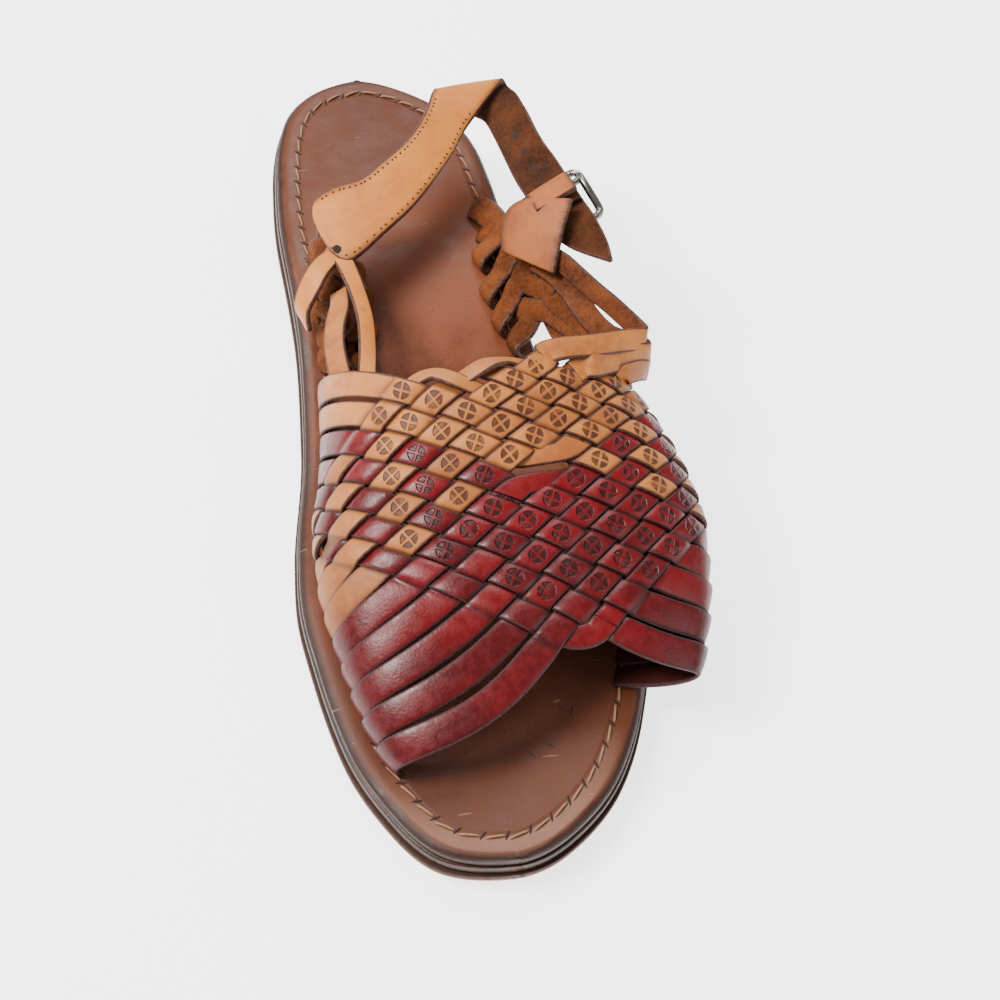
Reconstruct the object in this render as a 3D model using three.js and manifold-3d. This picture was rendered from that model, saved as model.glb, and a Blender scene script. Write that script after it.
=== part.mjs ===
// Woven leather huarache sandal: a left shoe, standing empty on its sole.
// Millimetres, +Z up. The toe points to -Y, the heel to +Y, the big-toe side to -X and the
// buckle side to +X. The modelling origin is on the ground below the middle of the sole;
// the last lines move the whole shoe sideways so that it stands centred on the origin.

import * as THREE from 'three';
import { mergeVertices } from 'three/addons/utils/BufferGeometryUtils.js';
import Module from 'manifold-3d';

const wasm = await Module();
wasm.setup();

// Sole, from the ground up
const SOLE_LENGTH = 250;
const HEEL_HEIGHT = 15;
const HEEL_LENGTH = 66;
const HEEL_INSET = 1.2;
const HEEL_TAPER = 1.5;
const TOE_SPRING = 4;
const OUTSOLE_THICKNESS = 2.5;
const MIDSOLE_THICKNESS = 3;
const MIDSOLE_INSET = 0.7;
const INSOLE_THICKNESS = 3;
const INSOLE_INSET = 1.2;
const INSOLE_BEVEL = 1.3;
const LAYER_GAP = 0.25;

// Half widths of the sole on a half turn from heel (0 degrees) to toe (180 degrees);
// a station at that turn lies at half the sole's length times the cosine of the turn
const OUTLINE_COLUMNS = { turn: 0, medial: 1, lateral: 2 };
const OUTLINE = [
  [0, 0, 0],
  [15, 16, 13],
  [30, 25.6, 26],
  [45, 30, 32.5],
  [60, 31.8, 34],
  [75, 31.2, 33.5],
  [90, 33.6, 38],
  [105, 39.6, 46.8],
  [113, 41, 48.5],
  [122, 39.5, 46.3],
  [136, 35.5, 38.5],
  [150, 28, 28],
  [165, 18, 13.5],
  [180, 0, 0],
];

// Lengthwise places, as fractions of the sole's length from the heel
const SHANK_START = 0.28;
const SHANK_END = 0.6;
const TOE_SPRING_START = 0.72;

// Slots in the insole that the leather strips go down through
const SLOT_WIDTH = 3.4;
const SLOT_DEPTH = 1.9;
const TRIM_GAP = 0.3;
const SLOT_END = 4;
const VAMP_SLOTS = {
  medial: { side: -1, rear: 9, front: -95.5, insetRear: 6, insetFront: 9 },
  lateral: { side: 1, rear: 4, front: -80, insetRear: 6, insetFront: 9 },
};
const QUARTER_SLOTS = {
  medial: { side: -1, rear: 55, front: 19, insetRear: 6.5, insetFront: 6.5 },
  lateral: { side: 1, rear: 64, front: 22, insetRear: 7, insetFront: 6.5 },
};

// Leather strips and their diagonal weave; line 0 is the rearmost of each family
const STRIP_WIDTH = 6.3;
const WEAVE_THICKNESS = 2;
const STRIP_THICKNESS = 1.7;
const WEAVE_LINES = 11;
const WEAVE_RISE = 0.7;
const GIRTH_LINES = 10;
// Half sizes of a pad of the weave, across its strip and along it, in lines
const PAD_ACROSS = 0.46;
const PAD_ALONG = 0.4;
// A strip starts this far inside the edge of the woven wall, in lines
const WEAVE_OVERLAP = 0.2;
// Steps of a hand-placed strip between two of its rows
const SPAN_STEPS = 2;

// The vamp's arch over the foot at its rear edge, middle and front edge
const VAMP_REAR_LINE = 1.5;
const VAMP_FRONT_LINE = 9.5;
const VAMP_SIDE_REACH = { rear: -2.5, front: 4.5 };
const VAMP_HEIGHT = [52, 40, 30];
const VAMP_RIDGE_SIDE = [3, 24, 25.5];
const VAMP_RIDGE_Y = [-14, -42, -76.5];
const VAMP_MEDIAL_BULGE = [4, 11];
const VAMP_LATERAL_BULGE = 43;
const VAMP_LATERAL_DROP = 0.6;
const RIDGE_ROUNDING = 0.04;

// Crossings that a strip passes as it turns round on the vamp's front edge, and on its
// rear edge from one family of lines to the other
const EDGE_TURNS = [
  [[8, 10], [9.2, 9.9], [9.75, 9.75], [9.9, 9.2], [10, 8]],
  [[0, 5], [0.1, 4], [0.4, 3.3], [1, 3], [2, 3]],
  [[1, 3], [1.05, 1.9], [1.35, 1.35], [1.9, 1.05], [3, 1]],
];

// Rear corners of the vamp, where its long strips turn back toward the heel
const LATERAL_CORNER = [56, 0, 40];
const MEDIAL_CORNER = [-30.5, 2, 32];

// Woven quarters: the corners of each leaning panel
const QUARTER_COLUMNS = 4;
const QUARTER_ROWS = 3;
const QUARTER_PANELS = {
  medial: { topRear: [-17, 50, 36], topFront: [-12.5, 30, 31], bulge: -2 },
  lateral: { topRear: [30, 40, 39], topFront: [39, 27, 41.5], bulge: 3 },
};

// Heel strap: centre line, direction across it from its upper to its lower edge, width
const STRAP_THICKNESS = 1.8;
const STRAP_COLUMNS = { x: 0, y: 1, z: 2, acrossX: 3, acrossY: 4, acrossZ: 5, width: 6 };
const STRAP = [
  [-18.5, 40, 38, 0.5, -0.8, -0.3, 9],
  [-18.4, 44.5, 39.3, 0.4, -0.88, -0.3, 18],
  [-16, 49.5, 40.6, 0.38, -0.88, -0.3, 21],
  [-10, 52.5, 42.2, 0.45, -0.8, -0.38, 19],
  [0.5, 55, 44, 0.55, -0.69, -0.45, 16.5],
  [11, 62.5, 45, 0.55, -0.62, -0.55, 14.5],
  [20.5, 75, 44.5, 0.42, -0.55, -0.72, 13],
  [27, 85.5, 43.6, 0.1, -0.3, -0.93, 13],
  [32.5, 89, 42.8, -0.25, -0.1, -0.93, 13],
  [36, 84, 42.8, -0.5, -0.1, -0.83, 13],
  [38.6, 71, 43.6, -0.7, -0.1, -0.68, 13],
];
const SIZE_HOLE_RADIUS = 1.3;
const SIZE_HOLE_ROWS = [6.5, 9.4, 10.3];
const STRAP_TIP_REACH = 25;
const PRONG_HOLE = { length: 6, width: 3, centre: 2.8 };

// Narrow tails of the strap, by centre point and direction across; the first goes down
// into the medial slot, the second forward under the vamp's rear edge
const TAIL_TO_SLOT = [
  [-16.5, 46, 40, 0.3, -0.9, -0.1],
  [-20.5, 40.5, 36.5, 0.6, -0.8, 0],
  [-26, 37, 31, 0.2, -1, 0],
];
const TAIL_TO_VAMP = [
  [-15.5, 46, 40, 0.8, -0.3, -0.3],
  [-16.6, 35, 36.5, 0.9, -0.1, -0.3],
  [-13.8, 22, 33.5, 0.9, 0, -0.3],
  [-13.8, 10, 31.5, 0.9, 0, -0.3],
  [-16, 0, 34, 0.9, 0, -0.3],
  [-18, -8, 39, 0.9, 0, -0.3],
];

// Buckle: its centre bar, and the directions toward the heel and up across the strap
const BAR_CENTRE = [41, 45.5, 48];
const TOWARD_HEEL = [-0.17, 0.98, -0.12];
const ACROSS_BUCKLE = [0.85, 0.08, 0.42];
const FRAME_LENGTH = 19;
const FRAME_WIDTH = 17.5;
const FRAME_WIRE = 2.2;
const FRAME_ARCH = 5.8;
const BUCKLE_GAP = 0.35;
const PRONG_WIRE = 1.6;
const PRONG_WALL = 0.9;
const PRONG_SLEEVE = 2.6;
const TAB_WIDTH = 12.5;
const TAB_THICKNESS = 1.6;
const TAB_LAP = 3.5;
const TAB_SLIT = { width: 3.9, start: -3, end: 6, depth: 6 };
const TAB_NARROWING = 0.8;
const TAB_BASE = [[37, 38.5, 47.5], [34.5, 33, 43], [34, 30, 38]];

// Materials
const LEATHERS = {
  natural: { color: 0xc9985f, roughness: 0.62, metalness: 0 },
  woven: { color: 0xb0523a, roughness: 0.5, metalness: 0 },
  brown: { color: 0x7d4a33, roughness: 0.5, metalness: 0 },
  dark: { color: 0x3c2117, roughness: 0.55, metalness: 0 },
  heel: { color: 0x191512, roughness: 0.6, metalness: 0 },
  metal: { color: 0xc4c4c6, roughness: 0.28, metalness: 1 },
};

// Small maths

const vec = (p) => new THREE.Vector3(p[0], p[1], p[2]);
const lerp = THREE.MathUtils.lerp;
const clamp = THREE.MathUtils.clamp;

// Smooth value through the rows of a table, without overshoot
function tableValue(table, keyColumn, valueColumn, key) {
  const last = table.length - 1;
  let row = 0;
  while (row < last - 1 && key > table[row + 1][keyColumn]) {
    row += 1;
  }
  const slopeOf = (a) => {
    const run = table[a + 1][keyColumn] - table[a][keyColumn];
    return (table[a + 1][valueColumn] - table[a][valueColumn]) / run;
  };
  const tangentAt = (a) => {
    if (a === 0) {
      return slopeOf(0);
    }
    if (a === last) {
      return slopeOf(last - 1);
    }
    const before = slopeOf(a - 1);
    const after = slopeOf(a);
    return before * after <= 0 ? 0 : 2 * before * after / (before + after);
  };
  const run = table[row + 1][keyColumn] - table[row][keyColumn];
  const t = clamp((key - table[row][keyColumn]) / run, 0, 1);
  const t2 = t * t;
  const t3 = t2 * t;
  return table[row][valueColumn] * (2 * t3 - 3 * t2 + 1)
    + tangentAt(row) * run * (t3 - 2 * t2 + t)
    + table[row + 1][valueColumn] * (3 * t2 - 2 * t3)
    + tangentAt(row + 1) * run * (t3 - t2);
}

// Parabola through values at 0, one half and 1
function throughThree(values, t) {
  const [start, middle, end] = values;
  return start * (1 - t) * (1 - 2 * t) + 4 * middle * t * (1 - t) + end * t * (2 * t - 1);
}

function bezier(a, b, c, d, t) {
  const s = 1 - t;
  return new THREE.Vector2(
    s * s * s * a[0] + 3 * s * s * t * b[0] + 3 * s * t * t * c[0] + t * t * t * d[0],
    s * s * s * a[1] + 3 * s * s * t * b[1] + 3 * s * t * t * c[1] + t * t * t * d[1],
  );
}

// Closed meshes

function solidFromFaces(positions, faces) {
  const geometry = new THREE.BufferGeometry();
  geometry.setAttribute('position', new THREE.Float32BufferAttribute(positions, 3));
  geometry.setIndex(faces);
  return solidFromGeometry(geometry);
}

function signedVolume(positions, faces) {
  const a = new THREE.Vector3();
  const b = new THREE.Vector3();
  const c = new THREE.Vector3();
  let volume = 0;
  for (let f = 0; f < faces.length; f += 3) {
    a.fromArray(positions, 3 * faces[f]);
    b.fromArray(positions, 3 * faces[f + 1]);
    c.fromArray(positions, 3 * faces[f + 2]);
    volume += a.dot(b.cross(c));
  }
  return volume;
}

function solidFromGeometry(geometry) {
  const plain = geometry.index ? geometry : geometry.clone();
  plain.deleteAttribute('normal');
  plain.deleteAttribute('uv');
  const merged = mergeVertices(plain, 1e-5);
  const vertProperties = Float32Array.from(merged.attributes.position.array);
  const triVerts = Uint32Array.from(merged.index.array);
  if (signedVolume(vertProperties, triVerts) < 0) {
    triVerts.reverse();
  }
  return new wasm.Manifold(new wasm.Mesh({ numProp: 3, vertProperties, triVerts }));
}

function geometryFromSolid(solid) {
  const mesh = solid.getMesh();
  const geometry = new THREE.BufferGeometry();
  geometry.setAttribute('position', new THREE.BufferAttribute(mesh.vertProperties, 3));
  geometry.setIndex(new THREE.BufferAttribute(mesh.triVerts, 1));
  return geometry;
}

// Skin over a row of rings with equal point counts, closed at both ends
function loft(rings) {
  const count = rings[0].length;
  const positions = [];
  const faces = [];
  for (const ring of rings) {
    for (const point of ring) {
      positions.push(point.x, point.y, point.z);
    }
  }
  for (let r = 0; r + 1 < rings.length; r += 1) {
    for (let k = 0; k < count; k += 1) {
      const a = r * count + k;
      const b = r * count + (k + 1) % count;
      faces.push(a, b, b + count, a, b + count, a + count);
    }
  }
  const end = (rings.length - 1) * count;
  for (let k = 1; k + 1 < count; k += 1) {
    faces.push(0, k + 1, k, end, end + k, end + k + 1);
  }
  return solidFromFaces(positions, faces);
}

function joinAll(solids) {
  return solids.reduce((whole, solid) => whole.add(solid));
}

// The trimmed body without the crumbs that a cut can leave
function largestPart(solid) {
  const parts = solid.decompose();
  return parts.reduce((best, part) => (part.volume() > best.volume() ? part : best));
}

// Flat strip along points, with a width direction and a width for each point
function ribbon(points, acrosses, widths, thickness) {
  const rings = points.map((point, k) => {
    const before = points[Math.max(k - 1, 0)];
    const after = points[Math.min(k + 1, points.length - 1)];
    const along = after.clone().sub(before).normalize();
    const across = acrosses[k].clone();
    across.addScaledVector(along, -across.dot(along)).normalize();
    const out = along.clone().cross(across);
    const half = across.multiplyScalar(widths[k] / 2);
    const up = out.multiplyScalar(thickness / 2);
    return [
      point.clone().sub(half).sub(up),
      point.clone().add(half).sub(up),
      point.clone().add(half).add(up),
      point.clone().sub(half).add(up),
    ];
  });
  return loft(rings);
}

// Smooth run through a few hand-placed rows of the same length
function smoothRows(rows, perSpan) {
  const result = [];
  for (let r = 0; r + 1 < rows.length; r += 1) {
    const before = rows[Math.max(r - 1, 0)];
    const after = rows[Math.min(r + 2, rows.length - 1)];
    for (let k = 0; k < perSpan; k += 1) {
      const t = k / perSpan;
      result.push(rows[r].map((value, c) => {
        const m0 = (rows[r + 1][c] - before[c]) / 2;
        const m1 = (after[c] - value) / 2;
        return value * (2 * t ** 3 - 3 * t ** 2 + 1) + m0 * (t ** 3 - 2 * t ** 2 + t)
          + rows[r + 1][c] * (3 * t ** 2 - 2 * t ** 3) + m1 * (t ** 3 - t ** 2);
      }));
    }
  }
  result.push(rows[rows.length - 1]);
  return result;
}

// Sole outline and heights

const HALF_LENGTH = SOLE_LENGTH / 2;

function halfWidth(y, column) {
  const turn = THREE.MathUtils.radToDeg(Math.acos(clamp(y / HALF_LENGTH, -1, 1)));
  return tableValue(OUTLINE, OUTLINE_COLUMNS.turn, column, turn);
}

const medialEdge = (y) => -halfWidth(y, OUTLINE_COLUMNS.medial);
const lateralEdge = (y) => halfWidth(y, OUTLINE_COLUMNS.lateral);

function undersideHeight(y) {
  const along = (HALF_LENGTH - y) / SOLE_LENGTH;
  const shank = THREE.MathUtils.smoothstep(along, SHANK_START, SHANK_END);
  const toe = clamp((along - TOE_SPRING_START) / (1 - TOE_SPRING_START), 0, 1);
  return HEEL_HEIGHT * (1 - shank) + TOE_SPRING * toe * toe;
}

const midsoleBase = (y) => undersideHeight(y) + OUTSOLE_THICKNESS + LAYER_GAP;
const insoleBase = (y) => midsoleBase(y) + MIDSOLE_THICKNESS + LAYER_GAP;
const insoleTop = (y) => insoleBase(y) + INSOLE_THICKNESS;

function stationsBetween(rear, front) {
  const stations = [];
  const steps = 26;
  for (let k = 0; k <= steps; k += 1) {
    const turn = lerp(Math.acos(rear / HALF_LENGTH), Math.acos(front / HALF_LENGTH), k / steps);
    stations.push(HALF_LENGTH * Math.cos(turn));
  }
  return stations;
}

// One layer of the sole, its side stepped in and its upper edge bevelled
function soleLayer(base, thickness, inset, bevel) {
  const end = HALF_LENGTH - inset - 0.25;
  return loft(stationsBetween(end, -end).map((y) => {
    const place = y * HALF_LENGTH / (HALF_LENGTH - inset);
    const left = medialEdge(place) + Math.min(inset, -medialEdge(place) * 0.5);
    const right = lateralEdge(place) - Math.min(inset, lateralEdge(place) * 0.5);
    const bottom = base(y);
    const top = bottom + thickness;
    const slope = Math.min(bevel, (right - left) / 4);
    return [
      new THREE.Vector3(left, y, bottom),
      new THREE.Vector3(right, y, bottom),
      new THREE.Vector3(right, y, top - slope),
      new THREE.Vector3(right - slope, y, top),
      new THREE.Vector3(left + slope, y, top),
      new THREE.Vector3(left, y, top - slope),
    ];
  }));
}

function makeHeel() {
  const rear = HALF_LENGTH - HEEL_INSET - 0.5;
  const top = HEEL_HEIGHT - LAYER_GAP;
  return loft(stationsBetween(rear, HALF_LENGTH - HEEL_LENGTH).map((y) => {
    const place = y * HALF_LENGTH / (HALF_LENGTH - HEEL_INSET);
    const upper = Math.min(HEEL_INSET, lateralEdge(place) * 0.4);
    const lower = Math.min(HEEL_INSET + HEEL_TAPER, lateralEdge(place) * 0.6);
    return [
      new THREE.Vector3(medialEdge(place) + lower, y, 0),
      new THREE.Vector3(lateralEdge(place) - lower, y, 0),
      new THREE.Vector3(lateralEdge(place) - upper, y, top),
      new THREE.Vector3(medialEdge(place) + upper, y, top),
    ];
  }));
}

// A place on a slot's line: share 0 at its rear end and 1 at its front end
function slotPoint(slot, share) {
  const y = lerp(slot.rear, slot.front, share);
  const edge = slot.side < 0 ? medialEdge(y) : lateralEdge(y);
  const inset = lerp(slot.insetRear, slot.insetFront, clamp(share, 0, 1));
  return new THREE.Vector3(edge - slot.side * inset, y, insoleTop(y));
}

function slotCutter(slot, width) {
  const rings = [];
  const steps = 9;
  const reach = SLOT_END / Math.abs(slot.front - slot.rear);
  for (let k = 0; k <= steps; k += 1) {
    const centre = slotPoint(slot, lerp(-reach, 1 + reach, k / steps));
    const low = centre.z - 2 * INSOLE_THICKNESS;
    const high = centre.z + INSOLE_THICKNESS;
    rings.push([
      new THREE.Vector3(centre.x - width / 2, centre.y, low),
      new THREE.Vector3(centre.x + width / 2, centre.y, low),
      new THREE.Vector3(centre.x + width / 2, centre.y, high),
      new THREE.Vector3(centre.x - width / 2, centre.y, high),
    ]);
  }
  return loft(rings);
}

// The insole with its slots, grown on all sides when it is used to trim the upper
function makeInsole(grown) {
  const base = (y) => insoleBase(y) - grown;
  const thickness = INSOLE_THICKNESS + 2 * grown;
  let insole = soleLayer(base, thickness, INSOLE_INSET - grown, INSOLE_BEVEL);
  for (const slot of [...Object.values(VAMP_SLOTS), ...Object.values(QUARTER_SLOTS)]) {
    insole = insole.subtract(slotCutter(slot, SLOT_WIDTH - 2 * grown));
  }
  return insole;
}

// The vamp's surface. Its lines run down the foot: line counts from rear to front along the
// ridge, and girth goes from -1 at the medial slot over the ridge at 0 to 1 at the lateral slot
function vampPoint(line, girth) {
  const rear = VAMP_REAR_LINE + VAMP_SIDE_REACH.rear * girth * girth;
  const front = VAMP_FRONT_LINE + VAMP_SIDE_REACH.front * girth * girth;
  const share = (line - rear) / (front - rear);
  const near = clamp(share, -0.1, 1.1);
  const slot = girth < 0 ? VAMP_SLOTS.medial : VAMP_SLOTS.lateral;
  const rounded = Math.sqrt(girth * girth + RIDGE_ROUNDING) - Math.sqrt(RIDGE_ROUNDING);
  const outward = rounded / (Math.sqrt(1 + RIDGE_ROUNDING) - Math.sqrt(RIDGE_ROUNDING));
  const y = lerp(throughThree(VAMP_RIDGE_Y, share), lerp(slot.rear, slot.front, share), outward);

  const medialFoot = slotPoint(VAMP_SLOTS.medial, share);
  const lateralFoot = slotPoint(VAMP_SLOTS.lateral, share);
  const height = throughThree(VAMP_HEIGHT, near);
  const ridge = [throughThree(VAMP_RIDGE_SIDE, near), height];
  const medial = [medialFoot.x, medialFoot.z];
  const lateral = [lateralFoot.x, lateralFoot.z];
  const medialBulge = lerp(VAMP_MEDIAL_BULGE[0], VAMP_MEDIAL_BULGE[1], near);
  const medialRise = [medial[0] - medialBulge, lerp(medial[1], height, 0.6)];
  const medialTop = [lerp(ridge[0], medial[0], 0.6), height];
  const lateralTop = [lerp(ridge[0], lateral[0], 0.5) + 0.3 * VAMP_LATERAL_BULGE, height];
  const lateralDrop = [
    lateral[0] + VAMP_LATERAL_BULGE,
    lerp(lateral[1], height, VAMP_LATERAL_DROP),
  ];

  const samples = [];
  const steps = 14;
  for (let k = 0; k < steps; k += 1) {
    samples.push(bezier(medial, medialRise, medialTop, ridge, k / steps));
  }
  for (let k = 0; k <= steps; k += 1) {
    samples.push(bezier(ridge, lateralTop, lateralDrop, lateral, k / steps));
  }
  const lengths = [0];
  for (let k = 1; k < samples.length; k += 1) {
    lengths.push(lengths[k - 1] + samples[k].distanceTo(samples[k - 1]));
  }
  const target = clamp((girth + 1) / 2, 0, 1) * lengths[lengths.length - 1];
  let k = 1;
  while (k < samples.length - 1 && lengths[k] < target) {
    k += 1;
  }
  const t = (target - lengths[k - 1]) / (lengths[k] - lengths[k - 1]);
  const flat = samples[k - 1].clone().lerp(samples[k], t);
  return new THREE.Vector3(flat.x, y, flat.y);
}

// A weave crossing: first counts lines that run to the lateral rear, second the other family
function crossingPoint(first, second) {
  return vampPoint((first + second) / 2, (first - second) / GIRTH_LINES);
}

function normalOf(surface, first, second) {
  const d = 0.2;
  const along = surface(first + d, second).sub(surface(first - d, second));
  const other = surface(first, second + d).sub(surface(first, second - d));
  return other.cross(along).normalize();
}

// One wall of woven leather: a smooth inner face, and outside it each cell is a flat-topped
// pad, alternately the strip of one family and of the other, with a groove around it
function wovenWall(surface, firstCount, secondCount, hasCell) {
  const positions = [];
  const faces = [];
  const known = new Map();
  const half = WEAVE_THICKNESS / 2;
  const vertex = (first, second, height) => {
    const name = `${first.toFixed(3)},${second.toFixed(3)},${height.toFixed(3)}`;
    if (!known.has(name)) {
      const point = surface(first, second);
      point.addScaledVector(normalOf(surface, first, second), height);
      known.set(name, positions.length / 3);
      positions.push(point.x, point.y, point.z);
    }
    return known.get(name);
  };
  const quad = (a, b, c, d) => faces.push(a, b, c, a, c, d);
  const inner = -half;
  const groove = half - WEAVE_RISE;
  for (let i = 0; i < firstCount; i += 1) {
    for (let j = 0; j < secondCount; j += 1) {
      if (!hasCell(i, j)) {
        continue;
      }
      const firstOver = (i + j) % 2 === 1;
      const di = firstOver ? PAD_ALONG : PAD_ACROSS;
      const dj = firstOver ? PAD_ACROSS : PAD_ALONG;
      const corners = [[-1, -1], [1, -1], [1, 1], [-1, 1]];
      const low = corners.map(([a, b]) => vertex(i + a / 2, j + b / 2, inner));
      const base = corners.map(([a, b]) => vertex(i + a / 2, j + b / 2, groove));
      const pad = corners.map(([a, b]) => vertex(i + a * di, j + b * dj, half));
      quad(low[3], low[2], low[1], low[0]);
      quad(pad[0], pad[1], pad[2], pad[3]);
      const beside = [[0, -1], [1, 0], [0, 1], [-1, 0]];
      for (let k = 0; k < 4; k += 1) {
        const n = (k + 1) % 4;
        quad(base[k], base[n], pad[n], pad[k]);
        if (!hasCell(i + beside[k][0], j + beside[k][1])) {
          quad(low[k], low[n], base[n], base[k]);
        }
      }
    }
  }
  return solidFromFaces(positions, faces);
}

function hasVampCell(i, j) {
  if (i < 0 || j < 0 || i >= WEAVE_LINES || j >= WEAVE_LINES) {
    return false;
  }
  if (Math.abs(i - j) > GIRTH_LINES - 2) {
    return false;
  }
  const frontCorner = i === WEAVE_LINES - 1 && j === WEAVE_LINES - 1;
  const behindRearEdge = j < 3 && (i === 0 || (i === 1 && j === 0));
  return !frontCorner && !behindRearEdge;
}

// A strip laid on the vamp's surface along a few crossings, such as a turn at its edge
function turningStrip(crossings) {
  const rows = smoothRows(crossings, SPAN_STEPS);
  const points = rows.map(([first, second]) => crossingPoint(first, second));
  const acrosses = rows.map(([first, second], k) => {
    const before = points[Math.max(k - 1, 0)];
    const after = points[Math.min(k + 1, points.length - 1)];
    return normalOf(crossingPoint, first, second).cross(after.clone().sub(before)).normalize();
  });
  return ribbon(points, acrosses, points.map(() => STRIP_WIDTH), STRIP_THICKNESS);
}

// A strip of the vamp that leaves the weave and goes down into a slot
function vampStrip(family, lineNumber, from, to) {
  const points = [];
  const acrosses = [];
  const steps = Math.max(2, Math.ceil(Math.abs(to - from) / 2.4));
  const place = (s) => (family === 'first' ? [lineNumber, s] : [s, lineNumber]);
  for (let k = 0; k <= steps; k += 1) {
    const s = lerp(from, to, k / steps);
    const next = from < to ? s + 0.1 : s - 0.1;
    const point = crossingPoint(...place(s));
    const ahead = crossingPoint(...place(next)).sub(point);
    const back = point.clone().sub(crossingPoint(...place(2 * s - next)));
    const direction = ahead.lengthSq() > 1e-8 ? ahead : back;
    points.push(point);
    acrosses.push(normalOf(crossingPoint, ...place(s)).cross(direction.normalize()));
  }
  const foot = points[points.length - 1];
  foot.z += 1;
  const sideways = new THREE.Vector3(0, Math.sign(acrosses[steps].y) || 1, 0);
  acrosses[steps].lerp(sideways, 0.5);
  points.push(new THREE.Vector3(foot.x, foot.y, insoleTop(foot.y) - SLOT_DEPTH));
  acrosses.push(sideways);
  return ribbon(points, acrosses, points.map(() => STRIP_WIDTH), STRIP_THICKNESS);
}

function vampStrips() {
  const strips = [];
  const rearStart = WEAVE_OVERLAP - 0.5;
  const frontStart = WEAVE_LINES - 1 - rearStart;
  const sideStart = GIRTH_LINES - 2 - rearStart;
  for (let line = 2; line < WEAVE_LINES - 1; line += 1) {
    strips.push(vampStrip('first', line, Math.min(frontStart, line + sideStart), line + GIRTH_LINES));
  }
  for (let line = 0; line < WEAVE_LINES - 2; line += 1) {
    strips.push(vampStrip('second', line, Math.min(frontStart, line + sideStart), line + GIRTH_LINES));
  }
  for (let line = 4; line < WEAVE_LINES - 1; line += 1) {
    strips.push(vampStrip('first', line, Math.max(rearStart, line - sideStart), line - GIRTH_LINES));
    strips.push(vampStrip('second', line, Math.max(rearStart, line - sideStart), line - GIRTH_LINES));
  }
  return strips;
}

// A strip through hand-placed rows of centre point and direction across
function freeStrip(rows) {
  const smooth = smoothRows(rows, SPAN_STEPS);
  const points = smooth.map((row) => vec(row));
  const acrosses = smooth.map((row) => vec(row.slice(STRAP_COLUMNS.acrossX)));
  return ribbon(points, acrosses, points.map(() => STRIP_WIDTH), STRIP_THICKNESS);
}

// Long strips that run past the vamp's rear corners and back to the quarters
function cornerStrips() {
  const towardCorner = (first, second) => crossingPoint(first, second).toArray();
  const [cx, cy, cz] = LATERAL_CORNER;
  const [mx, my, mz] = MEDIAL_CORNER;
  const across = [0.35, 0.3, -0.9];
  const flat = [0.2, 0.9, -0.3];
  return [
    freeStrip([
      [...towardCorner(2, 0.2), ...flat],
      [...towardCorner(2, -0.8), ...flat],
      [lerp(cx, 30, 0.5), cy - 3, cz + 9, ...across],
      [cx - 2, cy - 1, cz + 3, ...across],
      [cx - 1.5, cy + 5, cz + 2, ...across],
      [49, 13, 42.5, ...across],
      [41, 24, 41.5, ...across],
      [36, 31, 37.5, ...across],
    ]),
    freeStrip([
      [...towardCorner(3, 0.2), ...flat],
      [...towardCorner(3, -0.8), ...flat],
      [cx - 8, cy - 10, cz + 3, ...across],
      [cx - 1.5, cy - 5, cz - 3, ...across],
      [cx - 2, cy + 2, cz - 4, ...across],
      [46, 12, 36.5, ...across],
      [37, 23, 35.5, ...across],
      [32.5, 30, 32, ...across],
    ]),
    freeStrip([
      [...towardCorner(0.4, 4.4), 0, 0.9, -0.4],
      [...towardCorner(-1, 4.2), 0, 0.9, -0.4],
      [mx + 8, my - 3, mz + 9, 0, 0.6, -0.8],
      [mx + 1, my + 2, mz + 4, 0, 0.2, -1],
      [mx + 1, my + 12, mz + 2, 0, 0.1, -1],
      [mx + 6, my + 25, mz + 2, 0, 0.1, -1],
      [mx + 10, my + 40, mz + 3, 0, 0, -1],
    ]),
  ];
}

// Quarter panels

function quarterSurface(slot, panel) {
  return (column, row) => {
    const along = (column + 0.5) / QUARTER_COLUMNS;
    const up = (row + 0.5) / QUARTER_ROWS;
    const foot = slotPoint(slot, along);
    foot.z += 1;
    const top = vec(panel.topRear).lerp(vec(panel.topFront), along);
    const point = foot.lerp(top, up);
    point.x += panel.bulge * 4 * up * (1 - up);
    return point;
  };
}

function quarterPanel(slot, panel) {
  const surface = quarterSurface(slot, panel);
  const facing = slot.side > 0 ? surface : (column, row) => surface(QUARTER_COLUMNS - 1 - column, row);
  const inside = (i, j) => i >= 0 && j >= 0 && i < QUARTER_COLUMNS && j < QUARTER_ROWS;
  const solids = [wovenWall(facing, QUARTER_COLUMNS, QUARTER_ROWS, inside)];
  for (let column = 0; column < QUARTER_COLUMNS; column += 1) {
    const start = surface(column, 0);
    const middle = surface(column, -0.4);
    const foot = slotPoint(slot, (column + 0.5) / QUARTER_COLUMNS);
    foot.z -= SLOT_DEPTH;
    const across = new THREE.Vector3(0, -1, 0);
    solids.push(ribbon([start, middle, foot], [across, across, across],
      [STRIP_WIDTH, STRIP_WIDTH, STRIP_WIDTH], STRIP_THICKNESS));
  }
  return joinAll(solids);
}

// Places by the buckle: along toward the heel, across up the strap, out away from the foot
const buckleAlong = vec(TOWARD_HEEL).normalize();
const buckleAcross = vec(ACROSS_BUCKLE);
buckleAcross.addScaledVector(buckleAlong, -buckleAcross.dot(buckleAlong)).normalize();
const buckleOut = buckleAlong.clone().cross(buckleAcross);

function byBuckle(along, across, out) {
  return vec(BAR_CENTRE)
    .addScaledVector(buckleAlong, along)
    .addScaledVector(buckleAcross, across)
    .addScaledVector(buckleOut, out);
}

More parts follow.
